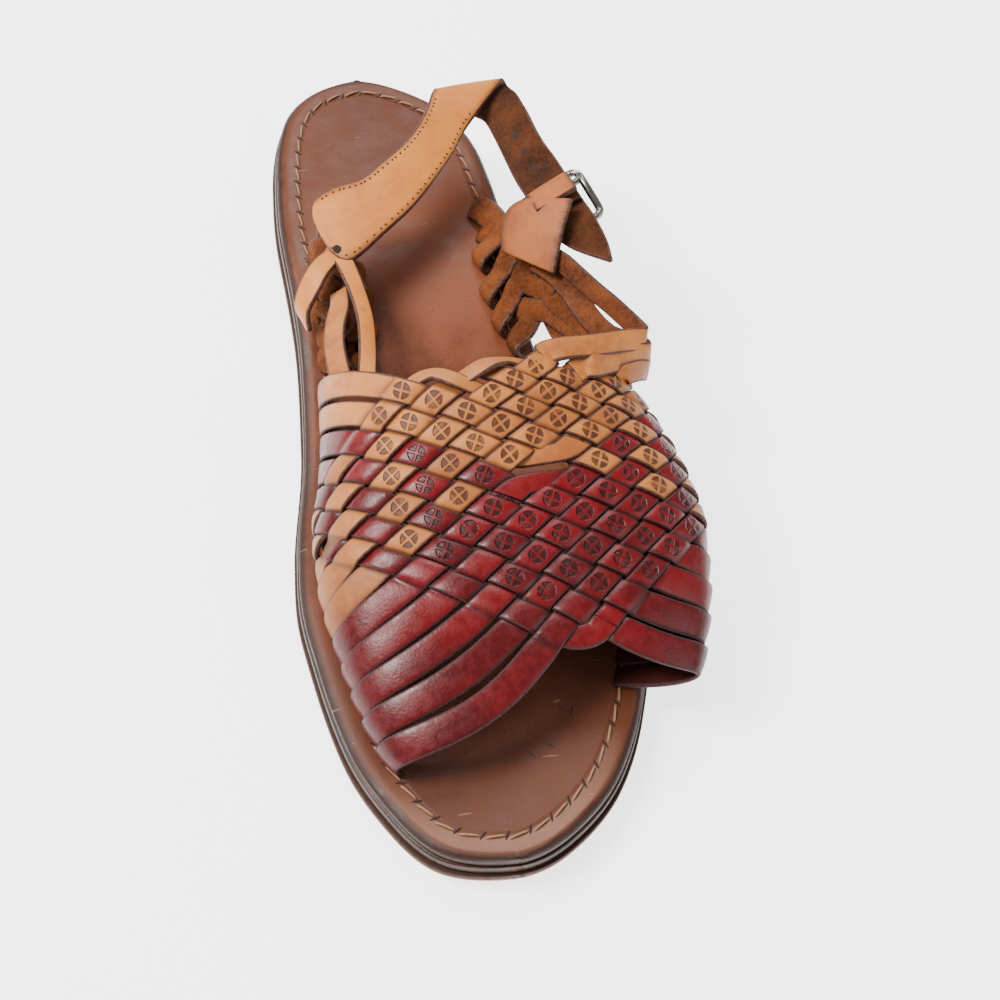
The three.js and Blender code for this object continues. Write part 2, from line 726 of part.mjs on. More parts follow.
const TAB_LAYER = FRAME_WIRE / 2 + BUCKLE_GAP + TAB_THICKNESS / 2;
const STRAP_OVER_TAB = TAB_LAYER + TAB_THICKNESS / 2 + BUCKLE_GAP + STRAP_THICKNESS / 2;
const STRAP_UNDER_FRAME = FRAME_ARCH - FRAME_WIRE / 2 - BUCKLE_GAP - STRAP_THICKNESS / 2;

// Tab: from the lateral quarter up to the buckle, round its bar and back over itself
function makeTab() {
  const points = TAB_BASE.slice().reverse().map(vec);
  points.push(byBuckle(-6, 0, -TAB_LAYER - 0.3));
  for (let k = 0; k <= 6; k += 1) {
    const turn = Math.PI * (k / 6 - 0.5);
    points.push(byBuckle(1 + TAB_LAYER * Math.cos(turn), 0, TAB_LAYER * Math.sin(turn)));
  }
  points.push(byBuckle(-TAB_LAP, 0, TAB_LAYER));
  const baseAcross = new THREE.Vector3(0.85, -0.1, 0.3);
  const acrosses = points.map((point, k) => (k < 2 ? baseAcross : buckleAcross));
  const widths = points.map((point, k) => (k < 2 ? TAB_WIDTH * TAB_NARROWING : TAB_WIDTH));
  const tab = ribbon(points, acrosses, widths, TAB_THICKNESS);
  const { width, start, end, depth } = TAB_SLIT;
  return tab.subtract(boxByBuckle([start, end], width, [-depth, depth]));
}

function boxByBuckle(along, width, out) {
  return loft(out.map((c) => [
    byBuckle(along[0], -width / 2, c),
    byBuckle(along[1], -width / 2, c),
    byBuckle(along[1], width / 2, c),
    byBuckle(along[0], width / 2, c),
  ]));
}

// Heel strap, cut with its size holes and the prong's hole
function strapRows() {
  const down = buckleAcross.clone().negate().toArray();
  const rows = STRAP.map((row) => row.slice());
  const width = STRAP[STRAP.length - 1][STRAP_COLUMNS.width];
  const add = (along, out) => rows.push([...byBuckle(along, 0, out).toArray(), ...down, width]);
  add(FRAME_LENGTH * 0.85, STRAP_UNDER_FRAME - 0.3);
  add(FRAME_LENGTH / 2, STRAP_UNDER_FRAME);
  add(3, STRAP_OVER_TAB);
  add(-TAB_LAP, STRAP_OVER_TAB);
  add(-FRAME_LENGTH * 0.4, STRAP_UNDER_FRAME - 0.2);
  add(-FRAME_LENGTH * 0.58, STRAP_UNDER_FRAME - 0.1);
  add(-FRAME_LENGTH * 0.85, STRAP_UNDER_FRAME + 2);
  rows.push([...byBuckle(-STRAP_TIP_REACH, 2, STRAP_UNDER_FRAME + 3).toArray(), ...down, 1.5]);
  return rows;
}

function holeCutter(centre, outward, radius) {
  const cylinder = new THREE.CylinderGeometry(radius, radius, 6 * STRAP_THICKNESS, 8);
  const upright = new THREE.Vector3(0, 1, 0);
  cylinder.applyQuaternion(new THREE.Quaternion().setFromUnitVectors(upright, outward));
  cylinder.translate(centre.x, centre.y, centre.z);
  return solidFromGeometry(cylinder);
}

function makeHeelStrap() {
  const rows = strapRows();
  const smooth = smoothRows(rows, SPAN_STEPS);
  const points = smooth.map((row) => vec(row));
  const acrosses = smooth.map((row) => vec(row.slice(STRAP_COLUMNS.acrossX)));
  const widths = smooth.map((row) => row[STRAP_COLUMNS.width]);
  let strap = ribbon(points, acrosses, widths, STRAP_THICKNESS);
  for (const place of SIZE_HOLE_ROWS) {
    const k = Math.round(place * SPAN_STEPS);
    const along = points[k + 1].clone().sub(points[k - 1]).normalize();
    const outward = acrosses[k].clone().cross(along).normalize();
    strap = strap.subtract(holeCutter(points[k], outward, SIZE_HOLE_RADIUS));
  }
  const start = PRONG_HOLE.centre - PRONG_HOLE.length / 2;
  const levels = [STRAP_OVER_TAB - 2 * STRAP_THICKNESS, STRAP_OVER_TAB + 2 * STRAP_THICKNESS];
  return strap.subtract(boxByBuckle([start, start + PRONG_HOLE.length], PRONG_HOLE.width, levels));
}

function strapTails() {
  const rearFoot = slotPoint(QUARTER_SLOTS.medial, 0.5);
  return [
    freeStrip([
      ...TAIL_TO_SLOT,
      [rearFoot.x - 1, rearFoot.y, rearFoot.z + 4, 0, -1, 0],
      [rearFoot.x, rearFoot.y, rearFoot.z - SLOT_DEPTH, 0, -1, 0],
    ]),
    freeStrip(TAIL_TO_VAMP),
  ];
}

function wire(points, diameter, sides, closed) {
  const outline = new THREE.Shape();
  for (let k = 0; k < sides; k += 1) {
    const turn = 2 * Math.PI * k / sides;
    const place = [Math.cos(turn) * diameter / 2, Math.sin(turn) * diameter / 2];
    if (k === 0) {
      outline.moveTo(...place);
    } else {
      outline.lineTo(...place);
    }
  }
  const path = new THREE.CatmullRomCurve3(points, closed);
  const steps = Math.round(points.length * 1.7);
  return solidFromGeometry(new THREE.ExtrudeGeometry(outline, {
    steps,
    bevelEnabled: false,
    extrudePath: path,
  }));
}

// Buckle frame: two end wires arched over the strap, side rails that dip to the centre bar
function makeBuckle() {
  const long = FRAME_LENGTH / 2;
  const wide = FRAME_WIDTH / 2;
  const rail = (side) => [
    byBuckle(-long, 0, FRAME_ARCH),
    byBuckle(-long, side * (wide - 2), FRAME_ARCH),
    byBuckle(-long + 1.5, side * wide, FRAME_ARCH - 0.4),
    byBuckle(-4, side * wide, 1.8),
    byBuckle(0, side * wide, 0),
    byBuckle(4, side * wide, 1.8),
    byBuckle(long - 1.5, side * wide, FRAME_ARCH - 0.4),
    byBuckle(long, side * (wide - 2), FRAME_ARCH),
    byBuckle(long, 0, FRAME_ARCH),
  ];
  const overlap = (side) => {
    const points = rail(side);
    points.unshift(byBuckle(-long, -side * 1.5, FRAME_ARCH));
    points.push(byBuckle(long, -side * 1.5, FRAME_ARCH));
    return points;
  };
  const bar = [byBuckle(0, -wide, 0), byBuckle(0, 0, 0), byBuckle(0, wide, 0)];
  return joinAll([
    wire(overlap(1), FRAME_WIRE, 6, false),
    wire(overlap(-1), FRAME_WIRE, 6, false),
    wire(bar, FRAME_WIRE, 6, false),
  ]);
}

// Prong: a sleeve round the bar and a pin up through the strap onto the frame's heel end
function makeProng() {
  const inner = FRAME_WIRE / 2 + BUCKLE_GAP;
  const outer = inner + PRONG_WALL;
  const rod = (radius, length) => {
    const cylinder = new THREE.CylinderGeometry(radius, radius, length, 14);
    const upright = new THREE.Vector3(0, 1, 0);
    cylinder.applyQuaternion(new THREE.Quaternion().setFromUnitVectors(upright, buckleAcross));
    cylinder.translate(...BAR_CENTRE);
    return solidFromGeometry(cylinder);
  };
  const rest = FRAME_ARCH + FRAME_WIRE / 2 + PRONG_WIRE / 2 + BUCKLE_GAP;
  const pin = wire([
    byBuckle(1.6, 0, 1.3),
    byBuckle(2.6, 0, 3.5),
    byBuckle(4.2, 0, rest - 1),
    byBuckle(7, 0, rest),
    byBuckle(FRAME_LENGTH / 2 + 2, 0, rest),
  ], PRONG_WIRE, 6, false);
  return rod(outer, PRONG_SLEEVE).add(pin).subtract(rod(inner, 3 * PRONG_SLEEVE));
}

function makeUpper() {
  const vamp = wovenWall(crossingPoint, WEAVE_LINES, WEAVE_LINES, hasVampCell);
  const whole = joinAll([
    vamp,
    ...vampStrips(),
    ...EDGE_TURNS.map(turningStrip),
    ...cornerStrips(),
    quarterPanel(QUARTER_SLOTS.medial, QUARTER_PANELS.medial),
    quarterPanel(QUARTER_SLOTS.lateral, QUARTER_PANELS.lateral),
    makeTab(),
    ...strapTails(),
    makeHeelStrap(),
  ]);
  return largestPart(whole.subtract(makeInsole(TRIM_GAP)));
}

// Assembly

const sandal = new THREE.Group();

function addPiece(name, solid, look) {
  const piece = new THREE.Mesh(geometryFromSolid(solid), new THREE.MeshStandardMaterial(look));
  piece.name = name;
  sandal.add(piece);
}

addPiece('heel', makeHeel(), LEATHERS.heel);
addPiece('outsole', soleLayer(undersideHeight, OUTSOLE_THICKNESS, 0, 0.2), LEATHERS.natural);
addPiece('midsole', soleLayer(midsoleBase, MIDSOLE_THICKNESS, MIDSOLE_INSET, 0.3), LEATHERS.dark);
addPiece('insole', makeInsole(0), LEATHERS.brown);
addPiece('upper', makeUpper(), LEATHERS.woven);
addPiece('buckle', makeBuckle(), LEATHERS.metal);
addPiece('buckle_prong', makeProng(), LEATHERS.metal);

// Stand the whole shoe centred over the origin
const bounds = new THREE.Box3().setFromObject(sandal);
const middle = bounds.getCenter(new THREE.Vector3());
sandal.position.set(-middle.x, -middle.y, 0);

export default sandal;
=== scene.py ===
import math
import bpy
import numpy as np
from mathutils import Matrix, Vector


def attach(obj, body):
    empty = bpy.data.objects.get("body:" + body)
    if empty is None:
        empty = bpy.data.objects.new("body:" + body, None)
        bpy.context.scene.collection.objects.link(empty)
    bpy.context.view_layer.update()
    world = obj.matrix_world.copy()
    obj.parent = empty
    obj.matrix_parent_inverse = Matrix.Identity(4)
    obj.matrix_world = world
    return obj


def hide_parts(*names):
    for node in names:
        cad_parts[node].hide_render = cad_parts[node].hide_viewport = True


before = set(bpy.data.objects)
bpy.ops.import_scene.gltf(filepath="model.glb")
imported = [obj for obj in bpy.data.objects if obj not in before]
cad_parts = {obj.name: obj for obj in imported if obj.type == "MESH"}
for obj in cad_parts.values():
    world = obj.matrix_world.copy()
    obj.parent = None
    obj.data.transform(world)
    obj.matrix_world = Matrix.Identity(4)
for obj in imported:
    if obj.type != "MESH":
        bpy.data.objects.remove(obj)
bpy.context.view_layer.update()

rng = np.random.default_rng(7)

# Woven leather huarache, left shoe. The same named sizes as the part's source, in
# millimetres; SIDE_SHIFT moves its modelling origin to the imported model's origin.
SIDE_SHIFT = -10.19

HALF_LENGTH = 125.0
HEEL_HEIGHT = 15.0
HEEL_LENGTH = 66.0
HEEL_INSET = 1.2
TOE_SPRING = 4.0
OUTSOLE_THICKNESS = 2.5
MIDSOLE_THICKNESS = 3.0
MIDSOLE_INSET = 0.7
INSOLE_THICKNESS = 3.0
INSOLE_INSET = 1.2
LAYER_GAP = 0.25
OUTLINE = np.array([
    (0, 0, 0), (15, 16, 13), (30, 25.6, 26), (45, 30, 32.5), (60, 31.8, 34), (75, 31.2, 33.5),
    (90, 33.6, 38), (105, 39.6, 46.8), (113, 41, 48.5), (122, 39.5, 46.3), (136, 35.5, 38.5),
    (150, 28, 28), (165, 18, 13.5), (180, 0, 0)], float)
MEDIAL, LATERAL = 1, 2

VAMP_SLOTS = {"medial": (-1, 9, -95.5, 6, 9), "lateral": (1, 4, -80, 6, 9)}
QUARTER_SLOTS = {"medial": (-1, 55, 19, 6.5, 6.5), "lateral": (1, 64, 22, 7, 6.5)}

WEAVE_LINES = 11
GIRTH_LINES = 10.0
VAMP_REAR_LINE, VAMP_FRONT_LINE = 1.5, 9.5
VAMP_REACH_REAR, VAMP_REACH_FRONT = -2.5, 4.5
VAMP_HEIGHT = (52, 40, 30)
VAMP_RIDGE_SIDE = (3, 24, 25.5)
VAMP_RIDGE_Y = (-14, -42, -76.5)
VAMP_MEDIAL_BULGE = (4, 11)
VAMP_LATERAL_BULGE = 43
VAMP_LATERAL_DROP = 0.6
RIDGE_ROUNDING = 0.04

BAR_CENTRE = np.array([41, 45.5, 48.0])
TOWARD_HEEL = np.array([-0.17, 0.98, -0.12])
ACROSS_BUCKLE = np.array([0.85, 0.08, 0.42])
FRAME_LENGTH, FRAME_WIDTH, FRAME_WIRE, FRAME_ARCH = 19.0, 17.5, 2.2, 5.8
BUCKLE_GAP = 0.35
STRAP_THICKNESS, TAB_THICKNESS = 1.8, 1.6


def unit(v):
    return v / max(np.linalg.norm(v), 1e-9)


def mix(a, b, t):
    return a + (b - a) * t


def lengths_along(points):
    """Distance travelled at each point of a polyline."""
    return np.concatenate([[0], np.cumsum(np.linalg.norm(np.diff(points, axis=0), axis=1))])


# Shapes of the last

def table_value(column, key):
    """Smooth value of a column of the outline between its rows, without overshoot."""
    keys, values = OUTLINE[:, 0], OUTLINE[:, column]
    slopes = np.diff(values) / np.diff(keys)
    tangents = np.zeros(len(keys))
    tangents[0], tangents[-1] = slopes[0], slopes[-1]
    before, after = slopes[:-1], slopes[1:]
    product = before * after
    safe = np.where(before + after == 0, 1, before + after)
    tangents[1:-1] = np.where(product <= 0, 0, 2 * product / safe)
    row = int(np.clip(np.searchsorted(keys, key, side="left") - 1, 0, len(keys) - 2))
    run = keys[row + 1] - keys[row]
    t = min(max((key - keys[row]) / run, 0), 1)
    return (values[row] * (2 * t ** 3 - 3 * t ** 2 + 1) + tangents[row] * run * (t ** 3 - 2 * t ** 2 + t)
            + values[row + 1] * (3 * t ** 2 - 2 * t ** 3) + tangents[row + 1] * run * (t ** 3 - t ** 2))


EDGE_CACHE = {}


def half_width(y, column):
    """Distance from the sole's middle line to its medial or lateral edge."""
    name = (round(y, 4), column)
    if name not in EDGE_CACHE:
        turn = math.degrees(math.acos(min(max(y / HALF_LENGTH, -1), 1)))
        EDGE_CACHE[name] = table_value(column, turn)
    return EDGE_CACHE[name]


def smoothstep(x, a, b):
    t = min(max((x - a) / (b - a), 0), 1)
    return t * t * (3 - 2 * t)


def underside(y):
    """Height of the sole's lowest face, with the arch in front of the heel and the toe spring."""
    along = (HALF_LENGTH - y) / (2 * HALF_LENGTH)
    toe = min(max((along - 0.72) / 0.28, 0), 1)
    return HEEL_HEIGHT * (1 - smoothstep(along, 0.28, 0.6)) + TOE_SPRING * toe * toe


def midsole_base(y):
    return underside(y) + OUTSOLE_THICKNESS + LAYER_GAP


def insole_base(y):
    return midsole_base(y) + MIDSOLE_THICKNESS + LAYER_GAP


def insole_top(y):
    return insole_base(y) + INSOLE_THICKNESS


def slot_point(slot, share):
    """Place on the insole's slot, from its rear end to its front end."""
    side, rear, front, inset_rear, inset_front = slot
    y = mix(rear, front, share)
    edge = side * half_width(y, MEDIAL if side < 0 else LATERAL)
    inset = mix(inset_rear, inset_front, min(max(share, 0), 1))
    return np.array([edge - side * inset, y, insole_top(y)])


def through_three(values, t):
    """Curve through a start, middle and end value."""
    a, b, c = values
    return a * (1 - t) * (1 - 2 * t) + 4 * b * t * (1 - t) + c * t * (2 * t - 1)


def bezier(a, b, c, d, t):
    t = t[:, None]
    s = 1 - t
    return s ** 3 * a + 3 * s * s * t * b + 3 * s * t * t * c + t ** 3 * d


def vamp_point(line, girth):
    """Place on the vamp's arch: line runs from its rear edge forward, girth from -1 at the
    medial foot over the ridge to 1 at the lateral foot."""
    rear = VAMP_REAR_LINE + VAMP_REACH_REAR * girth * girth
    front = VAMP_FRONT_LINE + VAMP_REACH_FRONT * girth * girth
    share = (line - rear) / (front - rear)
    near = min(max(share, -0.1), 1.1)
    slot = VAMP_SLOTS["medial"] if girth < 0 else VAMP_SLOTS["lateral"]
    root = math.sqrt(RIDGE_ROUNDING)
    outward = (math.sqrt(girth * girth + RIDGE_ROUNDING) - root) / (math.sqrt(1 + RIDGE_ROUNDING) - root)
    y = mix(through_three(VAMP_RIDGE_Y, share), mix(slot[1], slot[2], share), outward)
    medial_foot = slot_point(VAMP_SLOTS["medial"], share)[[0, 2]]
    lateral_foot = slot_point(VAMP_SLOTS["lateral"], share)[[0, 2]]
    height = through_three(VAMP_HEIGHT, near)
    ridge = np.array([through_three(VAMP_RIDGE_SIDE, near), height])
    bulge = mix(VAMP_MEDIAL_BULGE[0], VAMP_MEDIAL_BULGE[1], near)
    medial_rise = np.array([medial_foot[0] - bulge, mix(medial_foot[1], height, 0.6)])
    medial_top = np.array([mix(ridge[0], medial_foot[0], 0.6), height])
    lateral_top = np.array([mix(ridge[0], lateral_foot[0], 0.5) + 0.3 * VAMP_LATERAL_BULGE, height])
    lateral_drop = np.array([lateral_foot[0] + VAMP_LATERAL_BULGE,
                             mix(lateral_foot[1], height, VAMP_LATERAL_DROP)])
    t = np.linspace(0, 1, 29)
    samples = np.vstack([bezier(medial_foot, medial_rise, medial_top, ridge, t)[:-1],
                         bezier(ridge, lateral_top, lateral_drop, lateral_foot, t)])
    lengths = lengths_along(samples)
    target = min(max((girth + 1) / 2, 0), 1) * lengths[-1]
    return np.array([np.interp(target, lengths, samples[:, 0]), y,
                     np.interp(target, lengths, samples[:, 1])])


def crossing_point(first, second):
    """Where a line of family A and one of family B meet on the vamp."""
    return vamp_point((first + second) / 2, (first - second) / GIRTH_LINES)


def crossing_normal(first, second):
    d = 0.2
    along = crossing_point(first + d, second) - crossing_point(first - d, second)
    other = crossing_point(first, second + d) - crossing_point(first, second - d)
    return unit(np.cross(other, along))


# Mesh building

class Mesh:
    """Vertices, faces and per-corner coordinates of one joined piece."""

    def __init__(self):
        self.points, self.faces, self.slots = [], [], []
        self.strip, self.stamp, self.tint = [], [], []

    def add(self, points, faces, slots, strip=None, stamp=None, tint=0.5, sunk=None):
        start = len(self.points)
        self.points.extend(points)
        for f, face in enumerate(faces):
            self.faces.append([start + v for v in face])
            self.slots.append(slots if isinstance(slots, int) else slots[f])
            self.strip.extend(strip[f] if strip is not None else [(0, 0)] * len(face))
            self.stamp.extend(stamp[f] if stamp is not None else [(99, 99)] * len(face))
            depths = sunk[f] if sunk is not None else [0] * len(face)
            self.tint.extend([(tint, depth) for depth in depths])

    def build(self, name, materials, slot):
        data = bpy.data.meshes.new(name)
        points = [((p[0] + SIDE_SHIFT) / 1000, p[1] / 1000, p[2] / 1000) for p in self.points]
        data.from_pydata(points, [], self.faces)
        for material in materials:
            data.materials.append(material)
        data.polygons.foreach_set("material_index", self.slots)
        data.polygons.foreach_set("use_smooth", [True] * len(self.faces))
        for layer, values in (("strip", self.strip), ("stamp", self.stamp), ("tint", self.tint)):
            uv = data.uv_layers.new(name=layer)
            uv.data.foreach_set("uv", np.array(values, dtype=np.float32).ravel())
        data.validate()
        piece = bpy.data.objects.new(name, data)
        bpy.context.collection.objects.link(piece)
        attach(piece, "root")
        return piece


def ring_faces(count, size, closed=False):
    """Quads between rings of points, with a face over each open end."""
    faces = []
    for k in range(count if closed else count - 1):
        near, far = k * size, (k + 1) % count * size
        faces += [[near + q, near + (q + 1) % size, far + (q + 1) % size, far + q] for q in range(size)]
    if not closed:
        faces.append(list(reversed(range(size))))
        faces.append([(count - 1) * size + q for q in range(size)])
    return faces


def section(width, thick, crown, edge):
    """Round-edged cross-section of a strip: (across, out, face kind of the side that follows)."""
    w, h = width / 2, thick / 2
    e = min(edge, h * 0.95)
    top = [(-w + e, h), (-0.62 * w, h + 0.55 * crown), (-0.25 * w, h + crown), (0.25 * w, h + crown),
           (0.62 * w, h + 0.55 * crown), (w - e, h)]
    side = [(w - 0.3 * e, h - 0.3 * e), (w, h - e), (w, -h + e), (w - 0.3 * e, -h + 0.3 * e)]
    low = [(w - e, -h), (0, -h), (-w + e, -h)]
    back = [(-w + 0.3 * e, -h + 0.3 * e), (-w, -h + e), (-w, h - e), (-w + 0.3 * e, h - 0.3 * e)]
    kinds = [0] * 5 + [1] * 5 + [2] * 2 + [1] * 5
    return top + side + low + back, kinds


def ribbon(mesh, points, normals, widths, thick=1.3, crown=0.12, edge=0.45, stamps=None, tint=0.5,
           acrosses=None, depths=None, lead=False):
    """Sweeps a strip along points. Slots: 0 grain side, 1 cut edge, 2 flesh side. acrosses
    skews its rings, depths says how far each is under its neighbours, and with a lead the
    stamps' travel starts at the third point."""
    points = np.asarray(points, float)
    count = len(points)
    tangents = np.gradient(points, axis=0)
    widths = np.broadcast_to(widths, count)
    thicks = np.broadcast_to(thick, count)
    travel = lengths_along(points)
    stamp_start = travel[2] if lead else 0.0
    rings, across_values, skews = [], [], []
    for k in range(count):
        along = unit(tangents[k])
        across = unit(np.cross(along, normals[k])) if acrosses is None else acrosses[k]
        out = unit(np.cross(across, along))
        shape, kinds = section(widths[k], thicks[k], crown * min(1, widths[k] / 4), edge)
        rings.append([points[k] + across * a + out * b for a, b in shape])
        lean = float(np.dot(across, along))
        skews.append((lean, math.sqrt(max(1 - lean * lean, 0))))
        across_values.append([a for a, b in shape])
    n = len(rings[0])
    verts = [p for ring in rings for p in ring]
    slots, strip, stamp, sunk = [], [], [], []
    depths = [0] * count if depths is None else depths
    for k in range(count - 1):
        for q in range(n):
            r = (q + 1) % n
            slots.append(kinds[q])
            sunk.append([depths[k], depths[k], depths[k + 1], depths[k + 1]])
            a0, a1 = across_values[k][q], across_values[k][r]
            b0, b1 = across_values[k + 1][q], across_values[k + 1][r]
            w0, w1 = widths[k] / 2, widths[k + 1] / 2
            strip.append([(travel[k], a0 / w0), (travel[k], a1 / w0),
                          (travel[k + 1], b1 / w1), (travel[k + 1], b0 / w1)])
            if stamps is not None and stamps[k] is not None and kinds[q] == 0:
                centre = stamps[k] + stamp_start
                stamp.append([(travel[i] - centre + a * skews[i][0], a * skews[i][1])
                              for i, a in ((k, a0), (k, a1), (k + 1, b1), (k + 1, b0))])
            else:
                stamp.append([(99, 99)] * 4)
    for _ in range(2):
        slots.append(1)
        strip.append([(0, 0)] * n)
        stamp.append([(99, 99)] * n)
        sunk.append([0] * n)
    mesh.add(verts, ring_faces(count, n), slots, strip, stamp, tint, sunk)


def resample(points, extras, step):
    """Even steps along a polyline; extras are columns that go with its points."""
    points = np.asarray(points, float)
    extras = np.asarray(extras, float)
    travel = lengths_along(points)
    count = max(int(round(travel[-1] / step)), 2)
    places = np.linspace(0, travel[-1], count + 1)
    out = np.stack([np.interp(places, travel, points[:, c]) for c in range(3)], axis=1)
    more = np.stack([np.interp(places, travel, extras[:, c]) for c in range(extras.shape[1])], axis=1)
    return out, more


def spline(rows, per_span):
    """Smooth run through given rows."""
    rows = np.asarray(rows, float)
    result = []
    for r in range(len(rows) - 1):
        before, after = rows[max(r - 1, 0)], rows[min(r + 2, len(rows) - 1)]
        for k in range(per_span):
            t = k / per_span
            m0, m1 = (rows[r + 1] - before) / 2, (after - rows[r]) / 2
            result.append(rows[r] * (2 * t ** 3 - 3 * t ** 2 + 1) + m0 * (t ** 3 - 2 * t ** 2 + t)
                          + rows[r + 1] * (3 * t ** 2 - 2 * t ** 3) + m1 * (t ** 3 - t ** 2))
    result.append(rows[-1])
    return np.array(result)


def tube(mesh, points, radius, sides=14, closed=False):
    """Round wire along points."""
    points = np.asarray(points, float)
    count = len(points)
    if closed:
        tangents = np.roll(points, -1, axis=0) - np.roll(points, 1, axis=0)
    else:
        tangents = np.gradient(points, axis=0)
    radii = np.broadcast_to(radius, count)
    side = unit(np.cross(unit(tangents[0]), np.array([0.31, 0.42, 0.85])))
    verts = []
    for k in range(count):
        along = unit(tangents[k])
        side = unit(side - along * np.dot(side, along))
        other = np.cross(along, side)
        for q in range(sides):
            turn = 2 * math.pi * q / sides
            verts.append(points[k] + radii[k] * (side * math.cos(turn) + other * math.sin(turn)))
    mesh.add(verts, ring_faces(count, sides, closed), 0)


# Materials

def srgb(r, g, b):
    def one(v):
        v /= 255
        return v / 12.92 if v <= 0.04045 else ((v + 0.055) / 1.055) ** 2.4
    return (one(r), one(g), one(b), 1)


class Nodes:
    """Short calls for a material's node tree."""

    def __init__(self, name):
        self.material = bpy.data.materials.new(name)
        self.material.use_nodes = True
        self.tree = self.material.node_tree
        self.shader = self.tree.nodes["Principled BSDF"]

    def node(self, kind, **values):
        made = self.tree.nodes.new(kind)
        for key, value in values.items():
            if hasattr(made, key):
                setattr(made, key, value)
            else:
                made.inputs[key].default_value = value
        return made

    def link(self, a, b):
        self.tree.links.new(a, b)

    def put(self, made, index, value):
        if hasattr(value, "is_output"):
            self.link(value, made.inputs[index])
        else:
            made.inputs[index].default_value = value

    def math(self, operation, a, b=0.0):
        made = self.node("ShaderNodeMath", operation=operation)
        self.put(made, 0, a)
        self.put(made, 1, b)
        return made.outputs[0]

    def times(self, a, b):
        return self.math("MULTIPLY", a, b)

    def plus(self, a, b):
        return self.math("ADD", a, b)

    def minus(self, a, b):
        return self.math("SUBTRACT", a, b)

    def ramp(self, value, low, high, start=0.0, end=1.0):
        made = self.node("ShaderNodeMapRange", interpolation_type="SMOOTHSTEP")
        self.put(made, 0, value)
        for k, v in enumerate((low, high, start, end)):
            made.inputs[k + 1].default_value = v
        return made.outputs[0]

    def mix(self, factor, a, b):
        made = self.node("ShaderNodeMix", data_type="RGBA")
        self.put(made, 0, factor)
        self.put(made, 6, a)
        self.put(made, 7, b)
        return made.outputs[2]

    def paint(self, color, mask, amount, tone):
        return self.mix(self.times(mask, amount), color, tone)

    def coords(self):
        return self.node("ShaderNodeTexCoord").outputs["Object"]

    def split(self, vector):
        made = self.node("ShaderNodeSeparateXYZ")
        self.link(vector, made.inputs[0])
        return made.outputs

    def uv(self, layer):
        return self.split(self.node("ShaderNodeUVMap", uv_map=layer).outputs[0])[:2]

    def noise(self, scale, detail=4.0, roughness=0.55, vector=None):
        made = self.node("ShaderNodeTexNoise", Scale=scale, Detail=detail, Roughness=roughness)
        self.link(vector or self.coords(), made.inputs["Vector"])
        return made.outputs[0]

    def pebbles(self, scale):
        made = self.node("ShaderNodeTexVoronoi", feature="SMOOTH_F1", Scale=scale)
        self.link(self.coords(), made.inputs["Vector"])
        return made.outputs[0]

    def bump(self, height, strength, distance, normal=None):
        made = self.node("ShaderNodeBump", Strength=strength, Distance=distance)
        self.link(height, made.inputs["Height"])
        if normal is not None:
            self.link(normal, made.inputs["Normal"])
        return made.outputs[0]

    def finish(self, color, rough, normal=None, **constants):
        self.put(self.shader, "Base Color", color)
        self.put(self.shader, "Roughness", rough)
        if normal is not None:
            self.link(normal, self.shader.inputs["Normal"])
        for key, value in constants.items():
            self.shader.inputs[key.replace("_", " ")].default_value = value
        return self.material


def rosette(n):
    """Stamped wheel of four hollows with a cross between them, centred on each woven cell."""
    x, y = n.uv("stamp")
    ax, ay = n.math("ABSOLUTE", x), n.math("ABSOLUTE", y)
    radius = n.math("SQRT", n.plus(n.times(x, x), n.times(y, y)))
    inside = n.ramp(radius, 1.95, 2.3, 1, 0)
    cross = n.ramp(n.math("MINIMUM", ax, ay), 0.2, 0.5, 0, 1)
    hub = n.ramp(radius, 0.4, 0.75, 0, 1)
    worn = n.ramp(n.noise(260, 3), 0.3, 0.55, 0.55, 1)
    return n.times(n.times(n.times(inside, cross), hub), worn), radius


def grain_leather(name, light, mid, dark, stamp_color=None, rough=0.5, gloss=0.3):
    """Smooth side of leather, darker at its edges, with painted shade where it dips under its
    neighbours and painted shade low down; a stamp colour adds the rosettes."""
    n = Nodes(name)
    _, across = n.uv("strip")
    tint, sunk = n.uv("tint")
    broad = n.noise(70, 3)
    fine = n.noise(420, 5, 0.65)
    blotch = n.plus(n.times(broad, 0.65), n.times(fine, 0.35))
    blotch = n.plus(blotch, n.times(n.minus(tint, 0.5), 0.2))
    color = n.mix(n.ramp(blotch, 0.34, 0.62), mid, light)
    # painted shade: darker where the strip dips under its neighbours
    color = n.paint(color, n.ramp(sunk, 0.05, 0.75), 0.7, dark)
    uneven = n.times(n.minus(fine, 0.5), 0.3)
    rim = n.ramp(n.plus(n.math("ABSOLUTE", across), uneven), 0.72, 1.02)
    color = n.paint(color, rim, 0.75, dark)
    # painted shade: darker low down, near the insole
    low = n.ramp(n.split(n.coords())[2], 0.017, 0.038, 1, 0)
    color = n.paint(color, low, 0.45, dark)
    grime = n.ramp(n.noise(160, 6, 0.7), 0.6, 0.78)
    color = n.paint(color, grime, 0.35, dark)
    wrinkle = n.pebbles(1500)
    height = n.plus(n.times(wrinkle, 0.35), n.times(fine, 0.5))
    normal = n.bump(height, 0.5, 0.0002)
    rough_value = n.ramp(fine, 0.3, 0.7, rough - 0.08, rough + 0.1)
    if stamp_color is not None:
        pressed, radius = rosette(n)
        color = n.paint(color, pressed, 0.88, stamp_color)
        ring = n.times(n.ramp(radius, 1.9, 2.5, 1, 0), 0.18)
        color = n.mix(ring, color, dark)
        normal = n.bump(n.minus(1.0, pressed), 0.9, 0.0005, normal)
    return n.finish(color, rough_value, normal, Specular_IOR_Level=gloss)


